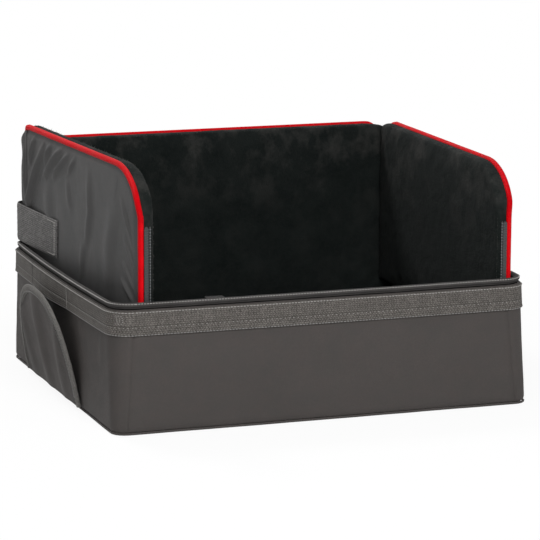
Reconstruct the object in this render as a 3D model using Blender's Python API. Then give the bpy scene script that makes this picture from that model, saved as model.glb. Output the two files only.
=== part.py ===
"""Dog car seat: an open fabric box with a padded insert that lifts out of it.

Metres, +Z up, +X to the right of somebody facing the seat, which faces -Y.
The origin is the centre of the box's footprint, on the surface it rests on.
"""
import math

import bmesh
import bpy
from mathutils import Vector

# Box: outside sizes at the foot, and how far each side stands in at the top
box_width = 0.450
box_depth = 0.390
panel_height = 0.1255
bottom_corner_radius = 0.015
top_corner_radius = 0.024
side_lean = 0.001
front_lean = 0.009
rear_lean = 0.001
side_bow = 0.004
front_bow = 0.002

# Layers of the box wall, from the outside in
contact_gap = 0.0003
cover_thickness = 0.0015
board_thickness = 0.003
lining_thickness = 0.001
base_board_thickness = 0.004
board_short_of_rim = 0.002
foot_piping_radius = 0.0015

# Rim
rim_roll_radius = 0.0032
webbing_height = 0.025
webbing_thickness = 0.0015
webbing_below_rim = 0.001
belt_loop_front = 0.155
belt_loop_rear = 0.290
belt_loop_standoff = 0.004

# Belt flaps on the two sides
flap_centre_from_front = 0.214
flap_half_width = 0.100
flap_height = 0.1105
flap_thickness = 0.0045
flap_binding_width = 0.009
flap_fold_depth = 0.003
flap_fold_count = 3
flap_rest_lean_deg = 10.5
flap_hinge_height = 0.005
flap_skin_share = 0.25
flap_width_power = 2.35

# Insert: a seat cushion with three padded walls standing on it
wall_thickness = 0.018
wall_side_clearance = 0.0024
wall_rear_clearance = 0.0034
wall_front_clearance = 0.001
side_wall_above_cushion = 0.0085
back_wall_seat_share = 0.218
left_wall_top = 0.2630
right_wall_top = 0.2470
back_wall_top = 0.2450
left_wall_turn_deg = 3.9
right_wall_turn_deg = 0.9
front_corner_run = 0.064
front_corner_drop = 0.052
rear_corner_run = 0.012
rear_corner_drop = 0.009
back_corner_run = 0.035
back_corner_flat = 0.002
front_corner_round = 0.006
back_corner_drop = 0.012
wall_crown_inside = 0.003
wall_crown_outside = 0.0025
nylon_thickness = 0.0012
plush_thickness = 0.003
plush_edge_roll = 0.003
nylon_fold_depth = 0.0022
nylon_fold_count = 3
nylon_fold_slant_share = 0.8
fold_start_share = 0.6
plush_rim_margin = 0.0018
wall_piping_radius = 0.0025
piping_proud = 0.001

cushion_side_clearance = 0.0099
cushion_rear_clearance = 0.0064
cushion_top = 0.0575
cushion_side_top = 0.049
cushion_waist_height = 0.029
cushion_foot_draw = 0.004
cushion_top_draw = 0.007
cushion_pull_in = 0.003
cushion_border_draw = 0.022
cushion_border_height = 0.0545
cushion_corner_share = 0.03
underside_draw = 0.012
underside_thickness = 0.0012

# Front flap, hanging lowered behind the front of the box
flap_panel_height = 0.068
flap_panel_from_lining = 0.0004
front_flap_nylon = 0.0012
front_flap_plush = 0.0030
front_flap_above_panel = 0.001
zip_coil_radius = 0.0011
zip_tape_thickness = 0.001
zip_flap_tape_width = 0.0033
zip_wall_tape_width = 0.0045
zip_side_clearance = 0.0045
wall_zip_above_hinge = 0.0035
wall_zip_below_top = 0.0565
slider_length = 0.008
slider_width = 0.0055
slider_below_hinge = 0.003
slider_wall = 0.0007
slider_channel_clearance = 0.0004
pull_length = 0.012
pull_width = 0.004
pull_thickness = 0.0008

# Strap round the back of the insert
strap_height = 0.041
strap_above_rim = 0.0023
strap_thickness = 0.0016
strap_sewn_end = 0.113
strap_clear = 0.0006
strap_back_slack = 0.012
strap_corner_slack = 0.0039
strap_corner_square = 0.004

# Tether anchor on the seat cushion
ring_wire_radius = 0.0015
ring_past_tab = 0.004
ring_length = 0.022
ring_from_rear = 0.107
tab_half_width = 0.0105
tab_thickness = 0.0015
tab_eye_wall = 0.0010
ring_running_gap = 0.0003
tab_rear_margin = 0.0015

# Modelling tolerances
smooth_angle_deg = 40
weld_distance = 0.00001
cut_overrun = 0.002

# Faceting
corner_steps = 4
side_steps = 10
front_steps = 6
wall_middle_steps = 9
wall_corner_steps = 4
wall_row_steps = 6
cushion_steps = 8
tube_sides_resolution = 1
flap_arch_steps = 16
flap_panel_steps = 4
strap_steps = 5
strap_corner_steps = 4
eye_segments = 12
ring_arc_steps = 9

# Colours (linear) and roughness
box_nylon = (0.072, 0.066, 0.060)
wall_nylon = (0.078, 0.077, 0.078)
plush_black = (0.012, 0.014, 0.013)
piping_red = (0.68, 0.008, 0.014)
webbing_grey = (0.110, 0.100, 0.090)
lining_black = (0.020, 0.020, 0.020)
board_grey = (0.25, 0.24, 0.22)
foam_white = (0.75, 0.74, 0.68)
zip_grey = (0.060, 0.063, 0.068)
metal_grey = (0.35, 0.35, 0.36)
plain_finish = {"roughness": 0.85, "metallic": 0.0}
plush_finish = {"roughness": 1.0, "metallic": 0.0}
nylon_finish = {"roughness": 0.6, "metallic": 0.0}
satin_finish = {"roughness": 0.45, "metallic": 0.0}
metal_finish = {"roughness": 0.35, "metallic": 1.0}


def start_scene():
    """Empty the scene and give back the collection that the parts go in."""
    for item in list(bpy.data.objects):
        bpy.data.objects.remove(item, do_unlink=True)
    parts = bpy.data.collections.new("Dog car seat")
    cutters = bpy.data.collections.new("Cutters")
    bpy.context.scene.collection.children.link(parts)
    bpy.context.scene.collection.children.link(cutters)
    return parts, cutters


parts_collection, cutter_collection = start_scene()


def mix(low, high, share):
    return low + (high - low) * share


def surface(name, colour, finish=plain_finish):
    material = bpy.data.materials.new(name)
    material.use_nodes = True
    shader = material.node_tree.nodes["Principled BSDF"]
    shader.inputs["Base Color"].default_value = (*colour, 1)
    shader.inputs["Roughness"].default_value = finish["roughness"]
    shader.inputs["Metallic"].default_value = finish["metallic"]
    return material


def add_part(name, mesh, colour, parent=None, finish=plain_finish):
    """Link a finished mesh as one named part with its own material."""
    mesh.materials.append(surface(name, colour, finish))
    part = bpy.data.objects.new(name, mesh)
    parts_collection.objects.link(part)
    part.parent = parent
    return part


def add_pivot(name, place, turn=(0, 0, 0), parent=None):
    """An empty on a joint's axis, which carries the moving pieces."""
    pivot = bpy.data.objects.new(name, None)
    pivot.location = place
    pivot.rotation_euler = turn
    pivot.parent = parent
    parts_collection.objects.link(pivot)
    return pivot


def finish_mesh(name, shape):
    mesh = bpy.data.meshes.new(name)
    shape.to_mesh(mesh)
    shape.free()
    mesh.shade_smooth()
    mesh.set_sharp_from_angle(angle=math.radians(smooth_angle_deg))
    return mesh


def place_on(rows, vert):
    """The point of the rows that a grid vertex, from -1 to 1 each way, stands for."""
    column = round((vert.co.x + 1) / 2 * (len(rows[0]) - 1))
    row = round((vert.co.y + 1) / 2 * (len(rows) - 1))
    return rows[row][column]


def flat_grid(shape, rows):
    columns_between = len(rows[0]) - 1
    rows_between = len(rows) - 1
    return bmesh.ops.create_grid(shape, x_segments=columns_between,
                                 y_segments=rows_between, size=1)["verts"]


def close_and_orient(shape):
    """Weld the points that meet, and turn every face outward."""
    bmesh.ops.remove_doubles(shape, verts=shape.verts[:], dist=weld_distance)
    bmesh.ops.triangulate(shape, faces=shape.faces[:], quad_method="FIXED")
    bmesh.ops.recalc_face_normals(shape, faces=shape.faces[:])


def layer(name, outer_rows, inner_rows, colour, parent=None, finish=plain_finish):
    """One closed piece of cloth, board or foam between two sheets of points."""
    shape = bmesh.new()
    flat_grid(shape, outer_rows)
    lifted = bmesh.ops.extrude_face_region(shape, geom=shape.faces[:], use_keep_orig=True)
    inner = {item for item in lifted["geom"] if isinstance(item, bmesh.types.BMVert)}
    for vert in shape.verts:
        vert.co = place_on(inner_rows if vert in inner else outer_rows, vert)
    close_and_orient(shape)
    return add_part(name, finish_mesh(name, shape), colour, parent, finish)


def band(name, outer_rows, inner_rows, colour):
    """A closed ring: up its outer rows and down its inner ones, all the way round."""
    shape = bmesh.new()
    rows = outer_rows + inner_rows[::-1] + outer_rows[:1]
    for vert in flat_grid(shape, rows):
        vert.co = place_on(rows, vert)
    close_and_orient(shape)
    return add_part(name, finish_mesh(name, shape), colour)


def tube(name, points, radius, colour, parent=None, closed=False, finish=plain_finish):
    """A round cord along a list of points, as a bevelled curve with caps."""
    curve = bpy.data.curves.new(name, "CURVE")
    curve.dimensions = "3D"
    curve.bevel_depth = radius
    curve.bevel_resolution = tube_sides_resolution
    curve.use_fill_caps = not closed
    spline = curve.splines.new("POLY")
    spline.points.add(len(points) - 1)
    for target, point in zip(spline.points, points):
        target.co = (*point, 1)
    spline.use_cyclic_u = closed
    curve.materials.append(surface(name, colour, finish))
    cord = bpy.data.objects.new(name, curve)
    parts_collection.objects.link(cord)
    cord.parent = parent
    return cord


def box_mesh(low, high):
    """A box between two corners."""
    shape = bmesh.new()
    cube = bmesh.ops.create_cube(shape, size=1)
    low, high = Vector(low), Vector(high)
    for vert in cube["verts"]:
        vert.co = (low + high) / 2 + vert.co * (high - low)
    return shape


def block(name, low, high, colour, parent=None, finish=plain_finish):
    return add_part(name, finish_mesh(name, box_mesh(low, high)), colour, parent, finish)


def cut_away(part, name, shape, operation="DIFFERENCE"):
    """Cut a shape out of a part, or join it on, with a Boolean modifier."""
    mesh = bpy.data.meshes.new(name)
    shape.to_mesh(mesh)
    shape.free()
    cutter = bpy.data.objects.new(name, mesh)
    cutter.parent = part.parent
    cutter.hide_render = True
    cutter.display_type = "WIRE"
    cutter_collection.objects.link(cutter)
    boolean = part.modifiers.new(name, "BOOLEAN")
    boolean.operation = operation
    boolean.solver = "EXACT"
    boolean.object = cutter


# Box outline

def bowed_line(start, end, outward, bow, steps):
    """Points from start to end, pushed outward in the middle by the bow."""
    points = []
    for step in range(steps + 1):
        share = step / steps
        push = bow * (1 - (2 * share - 1) ** 2)
        points.append(start.lerp(end, share) + outward * push)
    return points


def corner_arc(centre, radius, start_deg, end_deg):
    points = []
    for step in range(corner_steps + 1):
        turn = math.radians(mix(start_deg, end_deg, step / corner_steps))
        points.append(centre + Vector((math.cos(turn), math.sin(turn))) * radius)
    return points


def box_outline(height, inset):
    """The box's four stretches at a height, moved in by an inset.

    The left and right stretches run from front to rear and take in the
    rounded corners; the front and rear run from left to right between them.
    """
    share = height / panel_height
    half_width = box_width / 2 - side_lean * share
    front = -box_depth / 2 + front_lean * share
    rear = box_depth / 2 - rear_lean * share
    corner = mix(bottom_corner_radius, top_corner_radius, share)
    arc = corner - inset
    outline = {}
    for name, side in (("left", -1), ("right", 1)):
        front_centre = Vector((side * (half_width - corner), front + corner))
        rear_centre = Vector((side * (half_width - corner), rear - corner))
        outward = Vector((side, 0))
        middle = bowed_line(front_centre + outward * arc, rear_centre + outward * arc,
                            outward, side_bow * share, side_steps)
        first = 270 if side < 0 else -90
        straight = 180 if side < 0 else 0
        outline[name] = (corner_arc(front_centre, arc, first, straight)[:-1] + middle
                         + corner_arc(rear_centre, arc, straight, 90)[1:])
    reach = half_width - corner
    for name, level, facing in (("front", front + inset, -1), ("rear", rear - inset, 1)):
        outline[name] = bowed_line(Vector((-reach, level)), Vector((reach, level)),
                                   Vector((0, facing)), front_bow * share, front_steps)
    return outline


def at_height(points, height):
    return [Vector((point.x, point.y, height)) for point in points]


def whole_outline(height, inset):
    """All four stretches as one ring, from the front's left end and back."""
    stretch = box_outline(height, inset)
    return (stretch["front"][:-1] + stretch["right"][:-1] + stretch["rear"][::-1][:-1]
            + stretch["left"][::-1])


def corner_outline(height, inset):
    """The outline near the foot: four rounded corners with straight sides."""
    stretch = box_outline(height, inset)
    reach = corner_steps + 1
    ring = stretch["right"][:reach] + stretch["right"][-reach:]
    return ring + stretch["left"][::-1][:reach] + stretch["left"][:reach][::-1]


def trimmed(points, trim):
    """A stretch whose two ends stop short by a trim."""
    points = [point.copy() for point in points]
    points[0] += (points[1] - points[0]).normalized() * trim
    points[-1] += (points[-2] - points[-1]).normalized() * trim
    return points


def box_panel(name, side, heights, inset, thickness, colour, trim=contact_gap, ends=0):
    """One side of the box between two heights, at an inset from the outside.

    ends leaves that many points off each end, so a panel can stop short of
    the rounded corners.
    """
    outer, inner = [], []
    for height in heights:
        for rows, depth in ((outer, inset), (inner, inset + thickness)):
            stretch = box_outline(height, depth)[side]
            stretch = stretch[ends:len(stretch) - ends]
            rows.append(at_height(trimmed(stretch, trim), height))
    return layer(name, outer, inner, colour)


sides = ("front", "rear", "left", "right")
board_inset = cover_thickness + contact_gap
lining_inset = board_inset + board_thickness + contact_gap
lining_face = lining_inset + lining_thickness
base_board_foot = cover_thickness + contact_gap
base_board_inset = 2 * foot_piping_radius + 2 * contact_gap
board_foot = base_board_foot + base_board_thickness + contact_gap
cover_foot = 2 * foot_piping_radius + 2 * contact_gap
floor_top = board_foot + lining_thickness
rim_top = panel_height + contact_gap + 2 * rim_roll_radius


def make_covers():
    heights = [mix(cover_foot, panel_height, share) for share in (0, 1 / 2, 1)]
    for side in sides:
        box_panel(f"cover_{side}", side, heights, 0, cover_thickness, box_nylon)


def make_boards():
    top = panel_height - board_short_of_rim
    heights = [mix(board_foot, top, share) for share in (0, 1 / 2, 1)]
    for side in sides:
        ends = corner_steps if side in ("left", "right") else 0
        box_panel(f"board_{side}", side, heights, board_inset, board_thickness, board_grey,
                  ends=ends)


def make_linings():
    heights = [mix(floor_top + contact_gap, panel_height, share) for share in (0, 1 / 2, 1)]
    for side in sides:
        box_panel(f"lining_{side}", side, heights, lining_inset, lining_thickness, lining_black)


def flat_sheet(name, inset, foot, thickness, colour):
    """A floor sheet: the box outline filled, at an inset and a height."""
    curve = bpy.data.curves.new(name, "CURVE")
    curve.dimensions = "2D"
    curve.fill_mode = "BOTH"
    curve.extrude = thickness / 2
    points = corner_outline(foot, inset)
    spline = curve.splines.new("POLY")
    spline.points.add(len(points) - 1)
    for target, point in zip(spline.points, points):
        target.co = (point.x, point.y, 0, 1)
    spline.use_cyclic_u = True
    curve.materials.append(surface(name, colour))
    floor = bpy.data.objects.new(name, curve)
    floor.location = (0, 0, foot + thickness / 2)
    parts_collection.objects.link(floor)


def make_floor():
    flat_sheet("cover_base", base_board_inset, 0, cover_thickness, box_nylon)
    flat_sheet("board_base", base_board_inset, base_board_foot, base_board_thickness, board_grey)
    flat_sheet("lining_floor", lining_inset + contact_gap, board_foot, lining_thickness,
               lining_black)


def make_rim():
    foot_ring = at_height(corner_outline(0, foot_piping_radius),
                          foot_piping_radius + contact_gap)
    tube("foot_piping", foot_ring, foot_piping_radius, lining_black, closed=True)
    roll_ring = at_height(whole_outline(panel_height, lining_face / 2)[:-1],
                          rim_top - rim_roll_radius)
    tube("rim_roll", roll_ring, rim_roll_radius, webbing_grey, closed=True)


def webbing_rows(extra):
    """Rows of the webbing band; its lower edge hangs loose at the belt loops."""
    top = panel_height - webbing_below_rim
    rows = []
    for drop_share in (1, 1 / 2, 0):
        height = top - webbing_height * drop_share
        row = []
        for point in whole_outline(height, -contact_gap - extra):
            from_front = point.y + box_depth / 2
            loop_share = (from_front - belt_loop_front) / (belt_loop_rear - belt_loop_front)
            if 0 < loop_share < 1:
                swing = belt_loop_standoff * drop_share * math.sin(math.pi * loop_share)
                point.x += math.copysign(swing, point.x)
            row.append(Vector((point.x, point.y, height)))
        rows.append(row)
    return rows


def make_webbing():
    band("rim_webbing", webbing_rows(webbing_thickness), webbing_rows(0), webbing_grey)


# Belt flaps

def flap_row(edge_depth, rise_share, offset):
    """A row over the flap from end to end, at a share of its arch's height.

    The arch is drawn in by edge_depth, and offset gives the distance off the
    box side at a place.
    """
    power = 2 / flap_width_power
    row = []
    for step in range(flap_arch_steps + 1):
        turn = math.pi * step / flap_arch_steps
        across_share = math.copysign(abs(math.cos(turn)) ** power, math.cos(turn))
        arch_share = math.sin(turn) ** power if 0 < step < flap_arch_steps else 0
        across = (flap_half_width - edge_depth) * across_share
        rise = (flap_height - edge_depth) * arch_share * rise_share
        row.append(Vector((offset(across, rise), -across, rise)))
    return row


def flap_fold(across, rise):
    """How far the flap's panel stands out: soft upright folds, none at its edge."""
    side_share = max(0, 1 - (across / flap_half_width) ** 2)
    rise_share = math.sin(math.pi * min(1, rise / flap_height))
    wave = math.cos(math.pi * flap_fold_count * across / flap_half_width)
    return flap_fold_depth * side_share * rise_share * (1 + wave) / 2


def make_belt_flap(name, side):
    """An arched flap whose origin is its hinge along the foot of the box side.

    side is -1 for the left flap and 1 for the right one.
    """
    hinge_x = box_width / 2 + contact_gap
    centre_y = flap_centre_from_front - box_depth / 2
    lean = math.radians(flap_rest_lean_deg)
    pivot = add_pivot(f"{name}_pivot", (side * hinge_x, centre_y, flap_hinge_height),
                      (0, side * lean, 0))
    near = contact_gap
    far = contact_gap + flap_thickness
    panel_near = near + flap_thickness * flap_skin_share
    panel_far = far - flap_thickness * flap_skin_share

    def flat(level):
        return lambda across, rise: side * level

    def folded(level):
        return lambda across, rise: side * (level + flap_fold(across, rise))

    panel_edge = flap_binding_width + contact_gap
    shares = [step / flap_panel_steps for step in range(flap_panel_steps + 1)]
    layer(name, [flap_row(panel_edge, share, folded(panel_far)) for share in shares],
          [flap_row(panel_edge, share, folded(panel_near)) for share in shares],
          box_nylon, pivot)
    edges = (0, flap_binding_width)
    layer(f"{name}_binding", [flap_row(edge, 1, flat(far)) for edge in edges],
          [flap_row(edge, 1, flat(near)) for edge in edges], webbing_grey, pivot)


# Where the insert and the front flap stand in the box

flap_front_y = -box_depth / 2 + front_lean + lining_face + flap_panel_from_lining
flap_total = front_flap_nylon + contact_gap + front_flap_plush
front_hinge_y = flap_front_y + flap_total
front_hinge_z = panel_height + front_flap_above_panel
zip_level = flap_front_y + flap_total / 2
hinge_from_middle = box_width / 2 - lining_face - wall_thickness - wall_side_clearance
hinge_y = box_depth / 2 - lining_face - wall_thickness - wall_rear_clearance
wall_length = hinge_y - front_hinge_y - wall_front_clearance
side_wall_bottom = cushion_top + side_wall_above_cushion
back_wall_bottom = mix(cushion_side_top, cushion_border_height, back_wall_seat_share)
wall_zip_foot = front_hinge_z + wall_zip_above_hinge


# Padded walls

class Wall:
    """A padded wall in its pivot's axes: its outline, and points over it.

    along runs from the start edge, inward points into the cabin, and level 0
    is the inner face, so the outer face is at minus the thickness.
    """

    def __init__(self, name, pivot, start, along, inward, length, heights, start_corner,
                 end_corner, rounds):
        self.name = name
        self.pivot = pivot
        self.start = Vector(start)
        self.along = Vector(along)
        self.inward = Vector(inward)
        self.length = length
        self.bottom, self.top = heights
        self.start_run, self.start_drop = start_corner
        self.end_run, self.end_drop = end_corner
        self.start_round, self.end_round = rounds
        self.stations = self.station_shares()

    def station_shares(self):
        """Shares along the wall, close together where its top corners bend."""
        quarter = math.pi / 2
        start_steps = wall_corner_steps if self.start_round else wall_corner_steps // 2
        places = [self.start_run * (1 - math.cos(quarter * step / start_steps))
                  for step in range(start_steps)]
        middle_end = self.length - self.end_run
        places += [mix(self.start_run, middle_end, step / wall_middle_steps)
                   for step in range(wall_middle_steps)]
        places += [middle_end + self.end_run * math.sin(quarter * step / wall_corner_steps)
                   for step in range(wall_corner_steps + 1)]
        return [place / self.length for place in places]

    def point(self, along, level, height):
        return self.start + self.along * along + self.inward * level + Vector((0, 0, height))

    def drawn_in(self, level, along):
        """A level outward of the inner face, where the outer corner is rounded."""
        loss = 0
        for reach, radius in ((along, self.start_round), (self.length - along, self.end_round)):
            if reach < radius:
                loss = radius - math.sqrt(radius ** 2 - (radius - max(0, reach)) ** 2)
        return level if level > 0 else level * (1 - loss / wall_thickness)

    def top_at(self, along, side_inset, top_inset):
        """Height of the top edge at a distance along, moved in by the insets."""
        from_ends = ((along, self.start_run, self.start_drop),
                     (self.length - along, self.end_run, self.end_drop))
        for reach, run, drop in from_ends:
            if reach < run:
                rise = 1 - ((run - reach) / (run - side_inset)) ** 2
                return self.top - drop + (drop - top_inset) * math.sqrt(max(0, rise))
        return self.top - top_inset

    def place(self, insets, share, up, level):
        """The point at a share along and a share up, inside the given insets."""
        start_inset, end_inset, top_inset, foot_inset = insets
        along = mix(start_inset, self.length - end_inset, share)
        side_inset = start_inset if share < 1 / 2 else end_inset
        foot = self.bottom + foot_inset
        height = mix(foot, self.top_at(along, side_inset, top_inset), up)
        return self.point(along, self.drawn_in(level, along), height)

    def rows(self, insets, level):
        """Rows of points over the wall; level gives the depth at each share."""
        ups = [row / wall_row_steps for row in range(wall_row_steps + 1)]
        return [[self.place(insets, share, up, level(share, up)) for share in self.stations]
                for up in ups]

    def rimmed_rows(self, inset, level, rim_level):
        """Rows inside an inset, with one more ring of points out at the edge."""
        ups = [row / wall_row_steps for row in range(wall_row_steps + 1)]
        ups = [ups[0]] + ups + [ups[-1]]
        shares = [self.stations[0]] + self.stations + [self.stations[-1]]
        rows = []
        for row, up in enumerate(ups):
            points = []
            for column, share in enumerate(shares):
                at_rim = row in (0, len(ups) - 1) or column in (0, len(shares) - 1)
                insets = (0,) * 4 if at_rim else (inset,) * 4
                depth = rim_level if at_rim else level(share, up)
                points.append(self.place(insets, share, up, depth))
            rows.append(points)
        return rows

    def block(self, name, alongs, levels, heights, colour):
        corners = [self.point(along, level, height)
                   for along, level, height in zip(alongs, levels, heights)]
        low = [min(pair) for pair in zip(*corners)]
        high = [max(pair) for pair in zip(*corners)]
        return block(name, low, high, colour, self.pivot)


def bulge(share, up):
    """A cushioned rise: one over most of the panel, nothing at its edges."""
    return (1 - (2 * share - 1) ** 2) * (1 - (2 * up - 1) ** 4)


def nylon_fold(share, up):
    """Upright and slanting soft folds in the upper half of the nylon face."""
    upper = max(0, (up - fold_start_share) / (1 - fold_start_share))
    envelope = math.sin(math.pi * upper) * math.sin(math.pi * share)
    wave = math.cos(2 * math.pi * (nylon_fold_count * share + nylon_fold_slant_share * up))
    return nylon_fold_depth * max(0, envelope) * (1 + wave) / 2


piping_inset = wall_piping_radius - piping_proud
piping_level = -(wall_thickness - wall_piping_radius) - piping_proud
piping_reach = piping_inset + wall_piping_radius
plush_rim_level = piping_level + wall_piping_radius + 2 * contact_gap
plush_rim_width = piping_reach + plush_rim_margin
core_inset = plush_rim_width + contact_gap
nylon_inset = piping_reach + 2 * contact_gap


def make_wall_layers(wall):
    """Foam core, plush lining with its edge, nylon face and piping of a wall."""
    name = wall.name

    def inside(depth):
        return lambda share, up: depth + wall_crown_inside * bulge(share, up)

    def outside(depth):
        return lambda share, up: depth - wall_crown_outside * bulge(share, up)

    def folded(depth):
        return lambda share, up: outside(depth)(share, up) - nylon_fold(share, up)

    core_near = -(plush_thickness + contact_gap)
    core_far = -(wall_thickness - nylon_thickness - 2 * contact_gap)
    core_insets = (core_inset,) * 4
    layer(f"{name}_foam", wall.rows(core_insets, outside(core_far)),
          wall.rows(core_insets, inside(core_near)), foam_white, wall.pivot)
    layer(f"{name}_plush", wall.rimmed_rows(plush_rim_width, inside(0), -plush_edge_roll),
          wall.rimmed_rows(plush_rim_width, inside(-plush_thickness), plush_rim_level),
          plush_black, wall.pivot, plush_finish)
    nylon_insets = (nylon_inset, nylon_inset, nylon_inset, 0)
    layer(f"{name}_nylon", wall.rows(nylon_insets, folded(-wall_thickness)),
          wall.rows(nylon_insets, folded(-(wall_thickness - nylon_thickness))),
          wall_nylon, wall.pivot, nylon_finish)
    tube(f"{name}_piping", piping_route(wall), wall_piping_radius, piping_red,
         wall.pivot, finish=satin_finish)


def piping_route(wall):
    """Points of the piping: along the top, and down the front edge of a side wall."""
    insets = (piping_inset,) * 4
    points = [wall.place(insets, share, 1, piping_level) for share in wall.stations]
    if wall.name != "back_wall":
        points += [wall.place(insets, 1, 1 - step / wall_row_steps, piping_level)
                   for step in range(1, wall_row_steps + 1)]
    return points


def make_wall_zip(wall):
    """Half a zip on the front edge of a side wall: its tape and its coil."""
    seam_level = wall.drawn_in(piping_level, wall.length - piping_inset)
    tape_start = seam_level + wall_piping_radius + contact_gap
    tape_end = tape_start + zip_wall_tape_width
    along = wall.length + contact_gap
    heights = (wall_zip_foot, wall.top - wall_zip_below_top)
    wall.block(f"{wall.name}_zip_tape", (along, along + zip_tape_thickness),
               (tape_start, tape_end), heights, zip_grey)
    coil_along = along + zip_coil_radius
    coil_level = tape_end + contact_gap + zip_coil_radius
    route = [wall.point(coil_along, coil_level, height) for height in heights]
    tube(f"{wall.name}_zip_coil", route, zip_coil_radius, zip_grey, wall.pivot,
         finish=satin_finish)


def make_walls(insert):
    corner_back = (back_corner_run, back_corner_drop)
    back_corner_round = wall_thickness - back_corner_flat
    corner_rear = (rear_corner_run, rear_corner_drop)
    corner_front = (front_corner_run, front_corner_drop)
    reach = hinge_from_middle + wall_thickness
    back = Wall("back_wall", insert, (-reach, hinge_y + contact_gap, 0), (1, 0, 0), (0, -1, 0),
                2 * reach, (back_wall_bottom, back_wall_top), corner_back, corner_back,
                (back_corner_round, back_corner_round))
    walls = {"back_wall": back}
    for name, side, top, turn_deg in (("left_wall", -1, left_wall_top, left_wall_turn_deg),
                                      ("right_wall", 1, right_wall_top, right_wall_turn_deg)):
        turn = math.radians(turn_deg) * -side
        pivot = add_pivot(f"{name}_pivot", (side * hinge_from_middle, hinge_y, 0),
                          (0, 0, turn), insert)
        walls[name] = Wall(name, pivot, (0, -contact_gap, 0), (0, -1, 0), (-side, 0, 0),
                           wall_length, (side_wall_bottom, top), corner_rear, corner_front,
                           (0, front_corner_round))
        make_wall_zip(walls[name])
    for wall in walls.values():
        make_wall_layers(wall)
    return walls


# Strap round the back

strap_foot = rim_top + strap_above_rim
strap_corner_radius = wall_thickness + strap_clear + strap_corner_slack


def make_side_strap(wall):
    """The strap's sewn end on a side wall, slack between its stitching and the corner."""
    def strap_row(height, extra):
        row = []
        for step in range(strap_steps + 1):
            along = mix(0, strap_sewn_end, step / strap_steps)
            share = along / wall.length
            up = (height - wall.bottom) / (wall.top - wall.bottom)
            slack = strap_corner_slack * (1 - step / strap_steps)
            level = wall_thickness + wall_crown_outside * bulge(share, up) + strap_clear + slack
            row.append(wall.point(along, -(level + extra), height))
        return row

    heights = [strap_foot + strap_height * share for share in (0, 1 / 2, 1)]
    layer(f"{wall.name}_strap", [strap_row(height, strap_thickness) for height in heights],
          [strap_row(height, 0) for height in heights], webbing_grey, wall.pivot)


def back_strap_row(height, extra):
    """The strap's run round both rear corners and slack across the back."""
    points = []
    for side, start_deg, steps in ((-1, -left_wall_turn_deg, range(strap_corner_steps + 1)),
                                   (1, -right_wall_turn_deg, range(strap_corner_steps, -1, -1))):
        for step in steps:
            turn = math.radians(mix(start_deg, 90, step / strap_corner_steps))
            square = strap_corner_square * math.sin(2 * max(0, turn)) ** 2
            radius = strap_corner_radius + square + extra
            points.append(Vector((side * (hinge_from_middle + radius * math.cos(turn)),
                                  hinge_y + radius * math.sin(turn), height)))
        if side < 0:
            level = hinge_y + strap_corner_radius + extra
            for step in range(1, strap_steps * 2):
                share = step / (strap_steps * 2)
                slack = strap_back_slack * (1 - (2 * share - 1) ** 2)
                points.append(Vector((mix(-hinge_from_middle, hinge_from_middle, share),
                                      level + slack, height)))
    return points


def make_back_strap(insert):
    heights = [strap_foot + strap_height * share for share in (0, 1)]
    layer("back_strap", [back_strap_row(height, strap_thickness) for height in heights],
          [back_strap_row(height, 0) for height in heights], webbing_grey, insert)


# Seat cushion

cushion_half_width = box_width / 2 - lining_face - cushion_side_clearance
cushion_front = front_hinge_y + contact_gap
cushion_rear = box_depth / 2 - lining_face - cushion_rear_clearance
cushion_foot = floor_top + contact_gap
cushion_skin_foot = cushion_foot + underside_thickness + contact_gap


def cushion_rows(rings, border_height, top):
    """Rows over the cushion: rings of inset and height at its sides, then its top.

    The last ring's inset is the border's, inside which the top rises to its crown.
    """
    count = len(rings) - 1
    half_y = (cushion_rear - cushion_front) / 2
    middle_y = (cushion_rear + cushion_front) / 2
    last = cushion_steps + 2 * count
    rows = []
    for row in range(last + 1):
        points = []
        for column in range(last + 1):
            ring = min(row, column, last - row, last - column)
            across = 2 * min(1, max(0, (column - count) / cushion_steps)) - 1
            along = 2 * min(1, max(0, (row - count) / cushion_steps)) - 1
            inset, height = rings[min(ring, count)]
            if ring >= count:
                rise = (1 - across ** 4) * (1 - along ** 4)
                height = mix(border_height, top, rise)
            pull_x = cushion_pull_in * (1 - along ** 2)
            pull_y = cushion_pull_in * (1 - across ** 2)
            x = across * (cushion_half_width - inset - pull_x)
            y = along * (half_y - inset - pull_y)
            x *= 1 - cushion_corner_share * along ** 6
            y *= 1 - cushion_corner_share * across ** 6
            points.append(Vector((x, middle_y + y, height)))
        rows.append(points)
    return rows


def cushion_skin(depth):
    """The cushion's rounded outside, or the same shape a depth inside it."""
    rings = [(cushion_foot_draw + depth, cushion_skin_foot),
             (depth, cushion_waist_height),
             (cushion_top_draw + depth, cushion_side_top - depth),
             (cushion_border_draw + depth, cushion_border_height - depth)]
    return cushion_rows(rings, cushion_border_height - depth, cushion_top - depth)


def make_cushion(insert):
    """Foam core, plush top that covers its sides, and a nylon sheet below."""
    layer("cushion_plush", cushion_skin(0), cushion_skin(plush_thickness), plush_black,
          insert, plush_finish)
    foam_depth = plush_thickness + contact_gap
    foam_foot = cushion_foot_draw + foam_depth
    rings = [(mix(foam_foot, cushion_border_draw + foam_depth, share), cushion_skin_foot)
             for share in (0, 1 / 3, 2 / 3, 1)]
    layer("cushion_foam", cushion_skin(foam_depth),
          cushion_rows(rings, cushion_skin_foot, cushion_skin_foot), foam_white, insert)
    low = (-(cushion_half_width - underside_draw), cushion_front + underside_draw, cushion_foot)
    high = (cushion_half_width - underside_draw, cushion_rear - underside_draw,
            cushion_foot + underside_thickness)
    block("cushion_underside", low, high, wall_nylon, insert)


# Front flap with its half zips and sliders

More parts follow.
